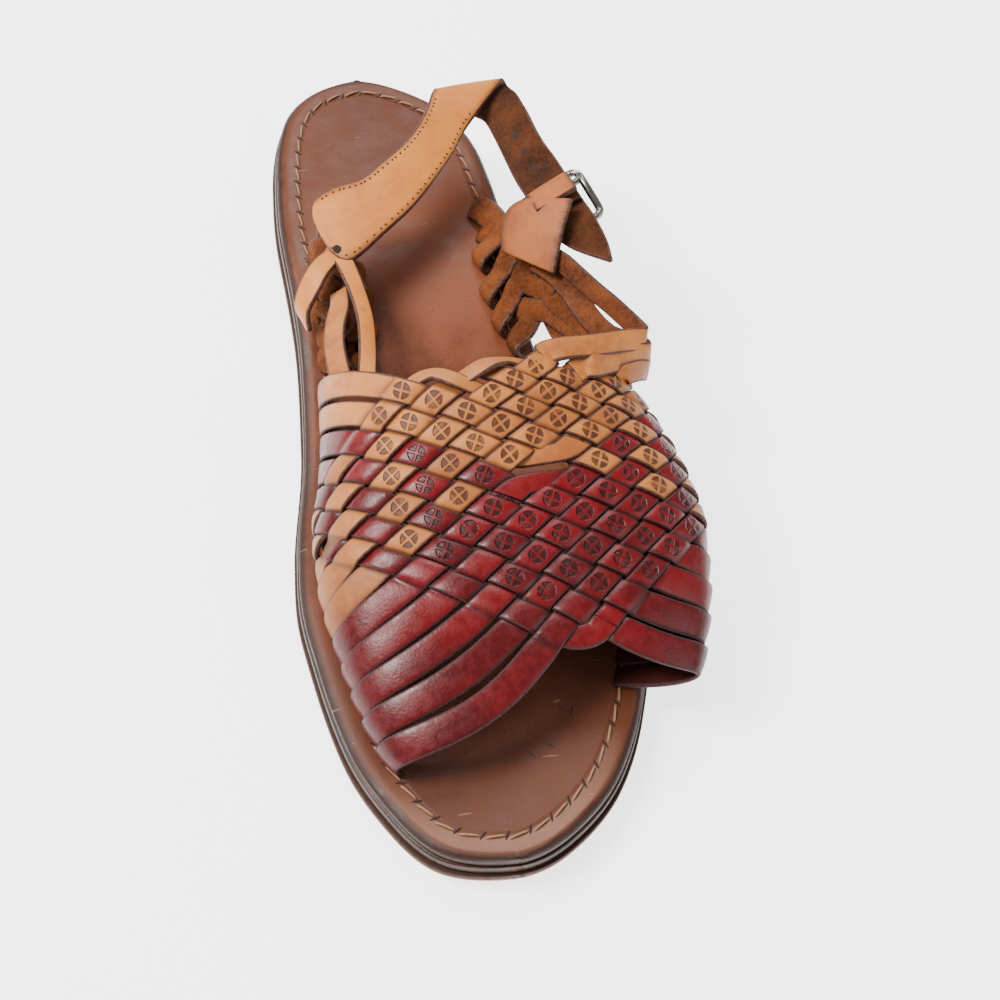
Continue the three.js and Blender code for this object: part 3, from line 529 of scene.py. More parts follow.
def flesh_leather(name, light, dark):
    """Fibrous back of leather."""
    n = Nodes(name)
    broad = n.noise(90, 4, 0.6)
    fibre = n.noise(900, 6, 0.75)
    speck = n.ramp(n.noise(1400, 2), 0.62, 0.72)
    value = n.plus(n.times(broad, 0.6), n.times(fibre, 0.45))
    color = n.mix(n.ramp(value, 0.36, 0.68), dark, light)
    color = n.paint(color, speck, 0.4, (*(min(c * 1.7, 1) for c in light[:3]), 1))
    height = n.plus(fibre, n.times(broad, 0.5))
    return n.finish(color, 0.9, n.bump(height, 0.8, 0.0004), Specular_IOR_Level=0.25)


def edge_leather(name, light, dark):
    """Cut edge of leather."""
    n = Nodes(name)
    fibre = n.noise(1100, 5, 0.7)
    color = n.mix(n.ramp(fibre, 0.35, 0.65), dark, light)
    return n.finish(color, 0.7, n.bump(fibre, 0.6, 0.0002))


tan_grain = grain_leather("tan_grain", srgb(188, 116, 54), srgb(152, 84, 36), srgb(60, 24, 9),
                          srgb(52, 22, 9), 0.5)
strap_grain = grain_leather("strap_grain", srgb(204, 124, 46), srgb(184, 104, 38), srgb(92, 42, 14))
tan_edge = edge_leather("tan_edge", srgb(92, 46, 24), srgb(40, 17, 10))
tan_flesh = flesh_leather("tan_flesh", srgb(118, 62, 30), srgb(58, 26, 12))
red_grain = grain_leather("red_grain", srgb(110, 1, 8), srgb(80, 0, 4), srgb(20, 0, 1),
                          srgb(40, 1, 3), 0.36, gloss=0.34)
red_edge = edge_leather("red_edge", srgb(70, 6, 10), srgb(26, 3, 5))
red_flesh = flesh_leather("red_flesh", srgb(70, 22, 14), srgb(32, 8, 6))
suede = flesh_leather("suede", srgb(126, 66, 26), srgb(72, 34, 11))
tab_grain = grain_leather("tab_grain", srgb(164, 92, 44), srgb(134, 68, 30), srgb(60, 26, 12),
                          rough=0.6)
strap_flesh = flesh_leather("strap_flesh", srgb(84, 42, 14), srgb(38, 17, 5))
suede_edge = edge_leather("suede_edge", srgb(100, 56, 34), srgb(44, 22, 14))
TAN = [tan_grain, tan_edge, tan_flesh]
RED = [red_grain, red_edge, red_flesh]

# The woven vamp

STRIP_THICK = 1.35
STRIP_CROWN = 0.2
STRIP_COVER = 0.87
NARROWEST, WIDEST = 4.8, 7.6
WEAVE_LIFT = 0.82
FLATNESS = 0.3
LAST_CROSSING = 10
LATTICE_STEP = 0.11
tan_strips, red_strips = Mesh(), Mesh()


def woven_share(s):
    """1 where a strip is woven, fading to 0 before its first crossing and past its last."""
    return smoothstep(s, -0.9, -0.2) * (1 - smoothstep(s, LAST_CROSSING + 0.2, LAST_CROSSING + 0.9))


def weave_height(s, over_is_odd):
    """Over and under along a strip: up where the crossing's parity says so."""
    wave = math.cos(math.pi * s) * (-1 if over_is_odd else 1)
    flat = wave * math.sqrt(1 + FLATNESS) / math.sqrt(wave * wave + FLATNESS)
    return WEAVE_LIFT * flat * woven_share(s)


def lattice_run(family, line, start, end):
    """Places along one line of the weave: points, normals, skewed widths, own crossings and depths."""
    count = max(int(round(abs(end - start) / LATTICE_STEP)), 2)
    points, normals, spans, cells, depths = [], [], [], [], []
    for s in np.linspace(start, end, count + 1):
        first, second = (line, s) if family == "A" else (s, line)
        normal = crossing_normal(first, second)
        height = weave_height(s, (line % 2 == 0) == (family == "A"))
        points.append(crossing_point(first, second) + normal * height)
        normals.append(normal)
        if family == "A":
            span = crossing_point(first - 0.5, second) - crossing_point(first + 0.5, second)
        else:
            span = crossing_point(first, second + 0.5) - crossing_point(first, second - 0.5)
        spans.append(span if end > start else -span)
        cell = int(round(s))
        over = ((cell + line) % 2 == 1) == (family == "A") and 0 <= cell <= LAST_CROSSING
        cells.append((cell, over, s))
        depths.append(woven_share(s) * (1 - smoothstep(height / WEAVE_LIFT, -0.1, 0.9)))
    return points, normals, spans, cells, depths


def is_stamped(family, line, cell):
    first, second = (line, cell) if family == "A" else (cell, line)
    girth = (first - second) / GIRTH_LINES
    middle = (first + second) / 2
    if girth < -0.52 or middle > 8.6:
        return False
    return not (middle > 7.4 and girth < -0.25)


def stamp_centres(family, line, points, cells):
    """Travel along the strip at the middle of each stamped cell, given per step."""
    travel = lengths_along(np.array(points))
    places = np.array([c[2] for c in cells])
    order = np.argsort(places)
    result = []
    for cell, over, _ in cells:
        if over and is_stamped(family, line, cell):
            result.append(float(np.interp(cell, places[order], travel[order])))
        else:
            result.append(None)
    return result


def foot_end(last, side):
    """The last stretch of a strip, down into the insole's slot; side is -1 for medial."""
    down = [last + np.array([0, 0, -1.2]), last + np.array([-side * 0.2, 0, -3.0])]
    return down, [np.array([side, 0, 0.25])] * 2


def add_strip(mesh, family, line, start, end, feet=(False, False)):
    """One strip of the weave. Its rings lie along the other family's lines, so that every
    crossing is a full parallelogram; past its last crossing it lies tilted like a shingle."""
    points, normals, spans, cells, depths = lattice_run(family, line, start, end)
    stamps = stamp_centres(family, line, points, cells)
    tangents = np.gradient(np.array(points), axis=0)
    widths, acrosses = [], []
    for k, (_, _, s) in enumerate(cells):
        size = np.linalg.norm(spans[k])
        across = spans[k] / size
        along = unit(tangents[k])
        loose = smoothstep(s, LAST_CROSSING + 0.2, LAST_CROSSING + 1.6)
        if loose > 0:
            square = unit(np.cross(along, normals[k]))
            across = unit(mix(across, square, loose * 0.8))
            side = (1 if family == "A" else -1) * (1 if end > start else -1)
            across = unit(across + normals[k] * 0.17 * side * loose)
        squareness = math.sqrt(max(1 - np.dot(across, along) ** 2, 0.05))
        narrow = size * squareness
        clipped = min(max(narrow * STRIP_COVER * (1 + 0.14 * loose), NARROWEST), WIDEST)
        widths.append(clipped / squareness)
        acrosses.append(across)
    if feet[1]:
        down, outward = foot_end(points[-1], -1 if (family == "A") == (end > start) else 1)
        points, normals, stamps = points + down, normals + outward, stamps + [None, None]
        widths, acrosses, depths = widths + widths[-1:] * 2, acrosses + acrosses[-1:] * 2, depths + [0.6, 1]
    if feet[0]:
        down, outward = foot_end(points[0], 1 if (family == "A") == (end > start) else -1)
        points, normals, stamps = down[::-1] + points, outward + normals, [None, None] + stamps
        widths, acrosses, depths = widths[:1] * 2 + widths, acrosses[:1] * 2 + acrosses, [1, 0.6] + depths
    ribbon(mesh, points, normals, widths, STRIP_THICK, crown=STRIP_CROWN, stamps=stamps, tint=rng.random(),
           acrosses=acrosses, depths=depths, lead=feet[0])


def add_turn(mesh, crossings, heights, share=1.0, lean=0.0, depth=0.0):
    """A strip that goes from one family of lines to the other round a corner. Its rings are
    square to its way in the lattice, so it meets the skewed rings of the strips it joins."""
    rows = spline([(a, b, h) for (a, b), h in zip(crossings, heights)], 8)
    ways = np.gradient(rows[:, :2], axis=0)
    points, normals, widths, acrosses = [], [], [], []
    for (a, b, h), way in zip(rows, ways):
        da, db = unit(way) * 0.5
        normal = crossing_normal(a, b)
        span = crossing_point(a - db, b + da) - crossing_point(a + db, b - da)
        rearward = unit(crossing_point(a - 0.1, b - 0.1) - crossing_point(a, b))
        points.append(crossing_point(a, b) + normal * h * WEAVE_LIFT)
        size = np.linalg.norm(span)
        widths.append(size * STRIP_COVER * share)
        tilt = np.dot(span / size, rearward) * lean
        acrosses.append(unit(span / size - normal * tilt))
        normals.append(normal)
    ribbon(mesh, points, normals, widths, STRIP_THICK, crown=STRIP_CROWN, tint=rng.random(),
           acrosses=acrosses, depths=[depth] * len(points))


# Family A runs from the medial front to the lateral rear, family B from the medial rear to
# the lateral front; lines 0 to 4 of both are tan, 6 to 10 red, and 5 changes at the ridge.
REAR_ENDS = {"A": {0: 4.0, 1: 3.0, 2: 0.3, 3: 0.3}, "B": {0: 2.85, 1: 2.0, 2: 0.9, 3: 2.0}}
for family in ("A", "B"):
    for line in range(0, 10):
        mesh = tan_strips if line <= 4 else red_strips
        if line == 5:
            add_strip(red_strips, family, 5, 6.4, 15, feet=(False, True))
            add_strip(tan_strips, family, 5, 3.6, -5, feet=(False, True))
        elif line in REAR_ENDS[family]:
            add_strip(mesh, family, line, REAR_ENDS[family][line], line + 10, feet=(False, True))
        else:
            add_strip(mesh, family, line, line - 10, line + 10, feet=(True, True))
add_strip(red_strips, "A", 10, 9.0, 0.6)
add_strip(red_strips, "B", 10, 9.0, 2.3)
add_turn(tan_strips, [(3.6, 5), (4.15, 4.98), (4.6, 4.6), (4.98, 4.15), (5, 3.6)],
         [-0.8, -0.9, 0.1, 0.9, 0.8])
add_turn(red_strips, [(5, 6.4), (5.02, 5.9), (5.4, 5.4), (5.85, 5.02), (6.4, 5)],
         [0.8, 0.9, 0.3, -0.9, -0.8])
add_turn(red_strips, [(9, 10), (9.4, 9.97), (9.75, 9.75), (9.97, 9.4), (10, 9)], [-0.9, -0.2, 0, 0.2, 0.9])
add_turn(tan_strips, [(0, 4.2), (0, 3.85), (0.06, 3.45), (0.27, 3.1), (0.62, 3), (1, 3), (1.5, 3), (2, 3)],
         [-1, -1, -0.8, -0.4, 0.4, 0.9, 0, -1], 0.72, 0.8, 0.3)
add_turn(tan_strips, [(1, 3), (1, 2.5), (1, 2), (1.04, 1.6), (1.28, 1.18), (1.65, 1), (2, 1), (2.2, 1)],
         [-1, 0, 0.9, 0.5, -0.3, -0.8, -1, -1], 0.72, 0.8, 0.3)

# Free strips

def faced_strip(mesh, rows, width=6.3, thick=1.4, crown=0.12, edge=0.45, tint=None, widths=None):
    """A strip through given rows: centre point, and the direction its grain side faces."""
    smooth = spline(rows, 10)
    points, more = resample(smooth[:, :3], smooth[:, 3:6], 0.8)
    if widths is not None:
        width = np.interp(np.linspace(0, 1, len(points)), *widths)
    ribbon(mesh, points, [unit(n) for n in more], width, thick, crown=crown, edge=edge,
           tint=rng.random() if tint is None else tint)


def on_weave(first, second, lift=0.0):
    normal = crossing_normal(first, second)
    return (*(crossing_point(first, second) + normal * lift), *normal)


def quarter_point(side, column, row):
    slot = QUARTER_SLOTS[side]
    top_rear, top_front, bulge = PANELS[side]
    along = (column + 0.5) / QUARTER_COLUMNS
    up = (row + 0.5) / QUARTER_ROWS
    foot = slot_point(slot, along) + np.array([0, 0, 1.0])
    point = mix(foot, mix(top_rear, top_front, along), up)
    point[0] += bulge * 4 * up * (1 - up)
    return point


def on_quarter(side, column, row, lift=0.0):
    """A row on a quarter's wall; lift is towards the foot, and so is the facing."""
    d = 0.1
    a = quarter_point(side, column + d, row) - quarter_point(side, column - d, row)
    b = quarter_point(side, column, row + d) - quarter_point(side, column, row - d)
    n = unit(np.cross(a, b))
    n = -n if n[0] * (1 if side == "lateral" else -1) > 0 else n
    return (*(quarter_point(side, column, row) + n * lift), *n)


QUARTER_COLUMNS, QUARTER_ROWS = 4, 3
PANELS = {
    "medial": (np.array([-17, 50, 36.0]), np.array([-12.5, 30, 31.0]), -2),
    "lateral": (np.array([30, 40, 39.0]), np.array([39, 27, 41.5]), 3),
}
quarter_mesh = Mesh()

# The two rear strips of the vamp run to its lateral corner, fold there and go back, flesh
# side showing, to the lateral quarter
faced_strip(tan_strips, [
    on_weave(2, 1.1, 0.8), on_weave(2, 0.45, 1.0), (26, -10.2, 50.4, 0.25, -0.1, 0.97),
    (31, -8.9, 50, 0.3, -0.1, 0.95), (38.4, -7.4, 48, 0.42, -0.15, 0.9),
    (47.5, -4, 44.2, 0.5, -0.25, 0.8),
    (54.4, -1.3, 41.2, 0.6, -0.5, 0.6), (56, -0.2, 40.4, 0.9, -0.3, 0.1), (55.8, 1.8, 40, 0.7, 0.6, -0.4),
    (52.7, 6.7, 40.5, 0.5, 0.6, -0.6), (49.5, 11, 41.5, 0.5, 0.6, -0.6), (46.4, 15.2, 42, 0.5, 0.6, -0.6),
    (43, 20.4, 42.6, 0.5, 0.6, -0.6), (39.5, 26.4, 42.6, 0.5, 0.6, -0.6), (36, 31.5, 41, 0.5, 0.6, -0.6)],
    widths=([0, 0.45, 0.55, 1], [6.6, 6.2, 5.2, 5.4]))
faced_strip(tan_strips, [
    on_weave(3, 0.6, 0.8), on_weave(3, 0.1, 1.1), (38.7, -12.4, 46.4, 0.35, -0.35, 0.85),
    (44.8, -9.2, 43.4, 0.45, -0.35, 0.8), (51.8, -5.7, 40, 0.55, -0.45, 0.7),
    (55.8, -3.9, 37.6, 0.7, -0.55, 0.4),
    (56.8, -2.2, 36.8, 1, 0.2, -0.1), (54, 0.6, 37, 0.4, 0.7, -0.6), (47.6, 4, 37.6, 0.15, 0.7, -0.7),
    (44.5, 8.5, 38.3, 0, 0.65, -0.75), (42.4, 14.1, 38.8, 0, 0.55, -0.8),
    (41.2, 19.5, 38.8, 0.2, 0.4, -0.85),
    (38.8, 26.5, 38.2, 0.4, 0.3, -0.8), (35, 32, 38, 0.4, 0.3, -0.8)], 
    widths=([0, 0.4, 0.5, 1], [6.6, 6.6, 5.6, 7.4]), thick=1.6)
faced_strip(tan_strips, [
    on_weave(4, -1.2, 0.6), (46.9, -12.4, 41, 0.5, -0.4, 0.75), (52.5, -9, 38, 0.6, -0.45, 0.6),
    (55.6, -6.8, 35, 0.8, -0.5, 0.2), (55.4, -4.4, 33.4, 0.6, 0.5, -0.5),
    (50, 0, 33, 0, 0.6, -0.7)], width=5.6)

# Quarters: steep strips rise from loops on the insole, flatter ones cross over and under
# them and go on forward; a row is a column, a row and a lift, or a free place and facing
LOOP_TIPS = {
    "lateral": [(22.2, 44.7), (22.3, 33.5), (23.8, 24.6), (27, 18)],
    "medial": [(-11.6, 43.4), (-10.7, 34.4), (-10.6, 24.9), (-12.5, 16)],
}
RISING = [
    [(0.6, -0.1, 1.2), (0.15, 0.4, 1.0), (0.1, 1.1, -0.9), (0.2, 1.9, -0.6)],
    [(1.75, -0.25, 1.2), (1.4, 0.1, 1.0), (0.95, 0.6, -0.9), (0.6, 1.5, 0.9), (0.5, 2.3, 0.9)],
    [(2.7, -0.2, 1.3), (2.4, 0.15, 1.0), (2.15, 0.55, -0.9), (1.8, 1.25, 1.0), (1.5, 2.0, -0.9),
     (1.2, 2.7, -0.5)],
    [(3.7, 0.0, 1.2), (3.55, 0.3, 0.9), (3.4, 0.65, -0.9), (3.35, 1.25, 1.0), (3.1, 1.9, -0.9),
     (3.0, 2.5, -0.5)],
]


FLAT_STRIP = {"thick": 1.6, "crown": 0.3, "edge": 0.6}
WIDE_STRIP = {"width": 8, "thick": 1.5, "crown": 0.3, "edge": 0.6}


def quarter_weave(side, sign):
    """Strips of one quarter; sign is the way out from the foot."""
    for k, ((tip_x, tip_y), rise) in enumerate(zip(LOOP_TIPS[side], RISING)):
        base = insole_top(tip_y)
        rows = [(tip_x + 4.2 * sign, tip_y + 0.6, base - 1.0, 0, 0, -1),
                (tip_x + 1.5 * sign, tip_y, base + 0.2, -0.7 * sign, -0.1, -0.75),
                (tip_x, tip_y + 0.3, base + 1.5, -1 * sign, -0.1, 0.1),
                (tip_x + 0.9 * sign, tip_y + 1.7, base + 3.2, -0.75 * sign, -0.1, 0.7)]
        rows += [on_quarter(side, *r) for r in rise]
        faced_strip(quarter_mesh, rows, thick=1.7, crown=0.35, edge=0.7,
                    widths=([0, 0.35, 0.6, 1], [6.4, 6.6, 8, 8]))
    far = LOOP_TIPS[side][0][0] + 2.3 * sign
    base = insole_top(60) + 1.2
    faced_strip(quarter_mesh, [
        (far, 66.6, base - 2.5, -0.3 * sign, 0, 0.9),
        (far + 1.2 * sign, 64.5, base + 0.6, -0.4 * sign, 0, 0.9),
        (far + 3.2 * sign, 60, base + 2.4, -0.6 * sign, 0, 0.8), on_quarter(side, 0.05, 0.4, 1.1),
        on_quarter(side, 0.5, 1.05, 1.0), on_quarter(side, 1.0, 1.6, -0.6),
        on_quarter(side, 1.5, 2.0, 1.0),
        on_quarter(side, 2.3, 2.2, 0.5), on_quarter(side, 2.95, 2.2, 0.9)], width=7.8, **FLAT_STRIP)
    faced_strip(quarter_mesh, [
        (far + 0.6 * sign, 57.4, base - 2.5, -0.3 * sign, 0, 0.9),
        (far + 2 * sign, 55, base + 0.8, -0.5 * sign, 0, 0.9),
        on_quarter(side, 0.6, -0.2, -0.4), on_quarter(side, 0.95, 0.5, 1.1),
        on_quarter(side, 1.8, 1.25, -0.8),
        on_quarter(side, 2.6, 1.6, 0.6), on_quarter(side, 3.1, 1.9, -0.6)], width=7.8, **FLAT_STRIP)
    faced_strip(quarter_mesh, [
        on_quarter(side, 0.5, -0.4, -0.9), on_quarter(side, 1.25, 0.35, -1.3),
        on_quarter(side, 2.0, 0.9, 0.9),
        on_quarter(side, 2.75, 1.3, -1.2), on_quarter(side, 3.3, 1.7, -0.9)], width=7.8, **FLAT_STRIP)
    faced_strip(quarter_mesh, [
        on_quarter(side, 1.5, -0.4, -0.2), on_quarter(side, 1.9, -0.1, -0.7),
        on_quarter(side, 2.25, 0.5, 1.1),
        on_quarter(side, 3.3, 1.2, -0.8), on_quarter(side, 3.8, 1.5, -0.4)], width=7.6, **FLAT_STRIP)


quarter_weave("lateral", 1)
faced_strip(quarter_mesh, [
    on_quarter("lateral", 2.7, -0.3, -0.6), on_quarter("lateral", 3.1, 0.1, 0.2),
    on_quarter("lateral", 3.5, 0.5, 1.2),
    (36.4, 19.4, 30.6, -0.4, -0.5, 0.75), (40.2, 12.8, 32.2, -0.3, -0.5, 0.8),
    (44, 7.2, 33.2, -0.3, -0.4, 0.85),
    (47, 1, 34, -0.3, -0.3, 0.9)], width=6.4, thick=1.7, crown=0.35, edge=0.6)
faced_strip(quarter_mesh, [
    on_quarter("lateral", 1.7, 0.2, -1.6), on_quarter("lateral", 2.5, 0.5, -1.8),
    on_quarter("lateral", 3.3, 0.8, -1.8),
    (39.6, 12.6, 29, -0.4, -0.5, 0.75), (43.5, 6.5, 29.5, -0.3, -0.5, 0.8),
    (47, 0, 30, -0.3, -0.4, 0.85)], **WIDE_STRIP)
faced_strip(quarter_mesh, [
    on_quarter("lateral", 2.0, 1.7, -1.8), on_quarter("lateral", 2.9, 1.5, -2.0),
    (38.6, 21.5, 34, -0.4, -0.5, 0.75),
    (42, 14.5, 35, -0.4, -0.5, 0.75), (45.5, 8, 35.4, -0.3, -0.5, 0.8),
    (49, 1.5, 36, -0.3, -0.4, 0.85)], **WIDE_STRIP)
quarter_weave("medial", -1)

# Sole layers

def outline_stations(rear, front, count):
    a, b = math.acos(rear / HALF_LENGTH), math.acos(front / HALF_LENGTH)
    return [HALF_LENGTH * math.cos(mix(a, b, k / count)) for k in range(count + 1)]


def outline_curve(inset, count=400):
    """Closed outline of a layer seen from above, and the way out at each point."""
    reach = HALF_LENGTH - inset
    ys = outline_stations(reach - 0.002, -reach + 0.002, count)
    sides = [[(side * max(half_width(y * HALF_LENGTH / reach, column) - inset, 0.02), y) for y in ys]
             for side, column in ((1, LATERAL), (-1, MEDIAL))]
    curve = np.array(sides[0] + sides[1][::-1])
    ways = np.roll(curve, -2, axis=0) - np.roll(curve, 2, axis=0)
    outward = np.stack([-ways[:, 1], ways[:, 0]], axis=1)
    return curve, outward / np.linalg.norm(outward, axis=1)[:, None]


LAYER_STATIONS = 170
LAYER_CHAMFER = 0.25
BEVEL_STEPS = 5


def layer(name, base, thickness, inset, bevel, material, slot, top_columns=2, bulge=0.15):
    """One layer of the sole: side wall with soft edges, and a bevelled upper rim."""
    mesh = Mesh()
    end = HALF_LENGTH - inset - 0.04
    curve, _ = outline_curve(inset)
    rings, marks = [], []
    for y in outline_stations(end, -end, LAYER_STATIONS):
        place = y * HALF_LENGTH / (HALF_LENGTH - inset)
        m, l = half_width(place, MEDIAL), half_width(place, LATERAL)
        left, right = -m + min(inset, m * 0.5), l - min(inset, l * 0.5)
        bottom = base(y)
        top = bottom + thickness
        half = (right - left) / 2
        slope = min(bevel, half / 2)
        ch = min(LAYER_CHAMFER, half / 3)
        waist = mix(bottom, top - slope * 0.6, 0.5)
        brim = top - slope * 0.8 - ch
        rim = []
        for k in range(BEVEL_STEPS + 1):
            t = k / BEVEL_STEPS
            rim.append((slope * 2.6 * t, top - slope * 0.8 * (1 - t) ** 2 - (ch if k == 0 else 0) * 0.3))
        ring = [(left + ch, bottom), (right - ch, bottom), (right, bottom + ch), (right + bulge, waist)]
        ring += [(right, brim)] + [(right - inward, z) for inward, z in rim]
        ring += [(mix(right - slope * 2.6, left + slope * 2.6, k / top_columns), top)
                 for k in range(1, top_columns)]
        ring += [(left + inward, z) for inward, z in reversed(rim)]
        ring += [(left, brim), (left - bulge, waist), (left, bottom + ch)]
        rings.append([(x, y, z) for x, z in ring])
        marks.append([(float(np.hypot(curve[:, 0] - x, curve[:, 1] - y).min()), (z - bottom) / thickness)
                      for x, z in ring])
    n = len(rings[0])
    verts = [p for ring in rings for p in ring]
    strip = []
    for near, far in zip(marks, marks[1:]):
        strip += [[near[q], near[(q + 1) % n], far[(q + 1) % n], far[q]] for q in range(n)]
    strip += [[(-1, 0.5)] * n] * 2
    mesh.add(verts, ring_faces(len(rings), n), 0, strip)
    piece = mesh.build(name, [material], slot)
    flip_if_inward(piece)
    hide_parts(slot)


def flip_if_inward(piece):
    """Turns a piece's faces outward where its enclosed volume comes out negative."""
    data = piece.data
    volume = 0.0
    points = np.empty(len(data.vertices) * 3)
    data.vertices.foreach_get("co", points)
    points = points.reshape(-1, 3)
    data.calc_loop_triangles()
    for tri in data.loop_triangles:
        a, b, c = (points[v] for v in tri.vertices)
        volume += float(np.dot(a, np.cross(b, c)))
    if volume < 0:
        data.flip_normals()


def sole_material(name, light, dark, rough, scale=60, streak=0.0, bump=0.4, stain=None):
    """Sole leather; stain is the colour of a burnished upper part of its side."""
    n = Nodes(name)
    broad = n.noise(scale, 4, 0.6)
    fine = n.noise(700, 5, 0.7)
    value = n.plus(n.times(broad, 0.7), n.times(fine, 0.35))
    color = n.mix(n.ramp(value, 0.38, 0.66), dark, light)
    if streak:
        layers = n.node("ShaderNodeTexWave", bands_direction="Z", Scale=streak, Distortion=2.5, Detail=3)
        n.link(n.coords(), layers.inputs["Vector"])
        color = n.paint(color, n.ramp(layers.outputs[1], 0.6, 0.95), 0.5, dark)
    if stain is not None:
        _, height = n.uv("strip")
        uneven = n.times(n.minus(broad, 0.5), 0.5)
        color = n.mix(n.ramp(n.plus(height, uneven), 0.3, 0.5), color, stain)
    normal = n.bump(fine, bump, 0.0002)
    return n.finish(color, n.ramp(fine, 0.3, 0.7, rough - 0.07, rough + 0.1), normal,
                    Specular_IOR_Level=0.3)


def insole_material():
    """Burnished insole: mottled middle, darker towards the toe partly with painted shade, shinier bevelled
    rim with a painted highlight at the toe, small scratches and marks.
    """
    n = Nodes("insole_leather")
    place = n.coords()
    y = n.split(place)[1]
    inward, _ = n.uv("strip")
    broad = n.noise(28, 4, 0.6)
    mottle = n.noise(130, 5, 0.65)
    fine = n.noise(1200, 4, 0.7)
    value = n.plus(n.times(broad, 0.6), n.times(mottle, 0.4))
    color = n.mix(n.ramp(value, 0.36, 0.64), srgb(84, 36, 14), srgb(122, 62, 32))
    pink = n.ramp(n.noise(18, 3), 0.45, 0.62)
    color = n.paint(color, pink, 0.5, srgb(128, 72, 48))
    # partly painted shade under the vamp, partly the toe's own darker, smudged colour
    front = n.ramp(y, -0.03, -0.075)
    color = n.paint(color, front, 0.75, srgb(78, 44, 32))
    heel = n.ramp(y, 0.04, 0.09)
    color = n.paint(color, heel, 0.75, srgb(78, 34, 10))
    spots = n.ramp(n.noise(300, 3, 0.8), 0.66, 0.74)
    color = n.paint(color, spots, 0.4, srgb(46, 20, 10))
    bevel = n.times(n.ramp(inward, 1.8, 2.6), n.ramp(inward, 5.4, 6.6, 1, 0))
    color = n.paint(color, bevel, 0.5, srgb(92, 48, 24))
    # painted highlight: a lighter band on the bevel at the toe
    painted_toe_highlight = n.times(bevel, n.ramp(y, -0.09, -0.12))
    color = n.paint(color, painted_toe_highlight, 0.6, srgb(142, 100, 82))
    burnt = n.ramp(n.plus(inward, n.times(mottle, 1.2)), 2.7, 1.5)
    color = n.paint(color, burnt, 0.9, srgb(40, 18, 10))
    flat_map = n.node("ShaderNodeMapping")
    flat_map.inputs["Rotation"].default_value = (0, 0, 0.6)
    flat_map.inputs["Scale"].default_value = (120, 900, 200)
    n.link(place, flat_map.inputs["Vector"])
    scratch = n.ramp(n.noise(1, 2, 0.4, vector=flat_map.outputs[0]), 0.72, 0.76)
    color = n.paint(color, scratch, 0.25, srgb(190, 140, 110))
    pores = n.pebbles(1300)
    height = n.plus(n.times(pores, 0.35), n.times(fine, 0.5))
    groove = n.times(n.ramp(inward, 5.6, 6.4), n.ramp(inward, 6.4, 7.4, 1, 0))
    normal = n.bump(n.minus(height, n.times(groove, 2.0)), 0.4, 0.0002)
    rough = n.minus(n.ramp(mottle, 0.3, 0.7, 0.42, 0.6), n.times(bevel, 0.1))
    return n.finish(color, rough, normal, Specular_IOR_Level=0.3)


insole_leather = insole_material()
dark_edge = sole_material("stained_edge", srgb(60, 32, 20), srgb(26, 13, 9), 0.42, 80, 0, 0.4)
pale_leather = sole_material("pale_sole", srgb(160, 118, 76), srgb(112, 76, 44), 0.7, 70, 420, 0.5,
                             srgb(54, 28, 16))
heel_black = sole_material("heel_black", srgb(40, 34, 31), srgb(16, 13, 12), 0.55, 90, 300, 0.5)

layer("outsole_leather", underside, OUTSOLE_THICKNESS, 0.0, 0.3, pale_leather, "outsole")
layer("midsole_leather", midsole_base, MIDSOLE_THICKNESS, MIDSOLE_INSET, 0.5, dark_edge, "midsole")
layer("insole_leather", insole_base, INSOLE_THICKNESS, INSOLE_INSET, 1.5, insole_leather, "insole",
      top_columns=24, bulge=0.1)


def make_heel():
    """Stacked heel block: its wall tapers a little and steps at each lift."""
    mesh = Mesh()
    top = HEEL_HEIGHT - LAYER_GAP
    rear = HALF_LENGTH - HEEL_INSET - 0.5
    rings = []
    for y in outline_stations(rear, HALF_LENGTH - HEEL_LENGTH, 70):
        place = y * HALF_LENGTH / (HALF_LENGTH - HEEL_INSET)
        m, l = half_width(place, MEDIAL), half_width(place, LATERAL)
        ring = []
        for side, w in ((1, l), (-1, m)):
            upper = min(HEEL_INSET, l * 0.4)
            lower = min(HEEL_INSET + 1.5, l * 0.6)
            levels = [(0.0, lower + 0.35), (0.35, lower)]
            levels += [(z, mix(lower, upper, z / top) + (0.18 if q % 2 else 0))
                       for q, z in enumerate(np.linspace(3.6, top - 0.35, 7))]
            levels += [(top, upper + 0.3)]
            wall = [(side * (w - inset), z) for z, inset in levels]
            ring += wall if side > 0 else wall[::-1]
        rings.append([(x, y, z) for x, z in ring])
    n = len(rings[0])
    verts = [p for ring in rings for p in ring]
    mesh.add(verts, ring_faces(len(rings), n), 0)
    piece = mesh.build("heel_block", [heel_black], "heel")
    flip_if_inward(piece)
    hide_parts("heel")


make_heel()

# Heel strap and quarters

# Edge pairs of the heel strap: first its upper and lower edge up to the fold at the back,
# then its inner and outer edge, with the flesh side towards the foot
STRAP_FRONT = [
    ((-22.6, 54.4, 39.6), (-22.5, 52, 39)), ((-22, 57.2, 40.2), (-21.6, 46.6, 38.4)),
    ((-19.6, 58.8, 41.4), (-19.2, 40.4, 38)), ((-15.7, 59.8, 43), (-14.6, 37.4, 38.2)),
    ((-8.7, 60.6, 44.5), (-4.5, 44.4, 40.5)), ((-2.7, 64.6, 46), (3.8, 51.4, 41.6)),
    ((4.1, 70.1, 47), (11.3, 59.8, 42.6)), ((9.3, 76.6, 47.4), (18.4, 69.4, 43)),
    ((13, 83.3, 47.4), (23, 77.1, 43.5)), ((15.6, 89.6, 47), (29.6, 85.4, 44.6))]
STRAP_FOLD = [
    ((16.6, 91, 46.4), (36.6, 93.6, 45.6)), ((16.8, 91.9, 45.4), (38.2, 94.9, 44.8)),
    ((17.2, 91.8, 44), (38.8, 94.6, 43.6)), ((18.2, 90.6, 43), (39.4, 93.2, 43.4))]
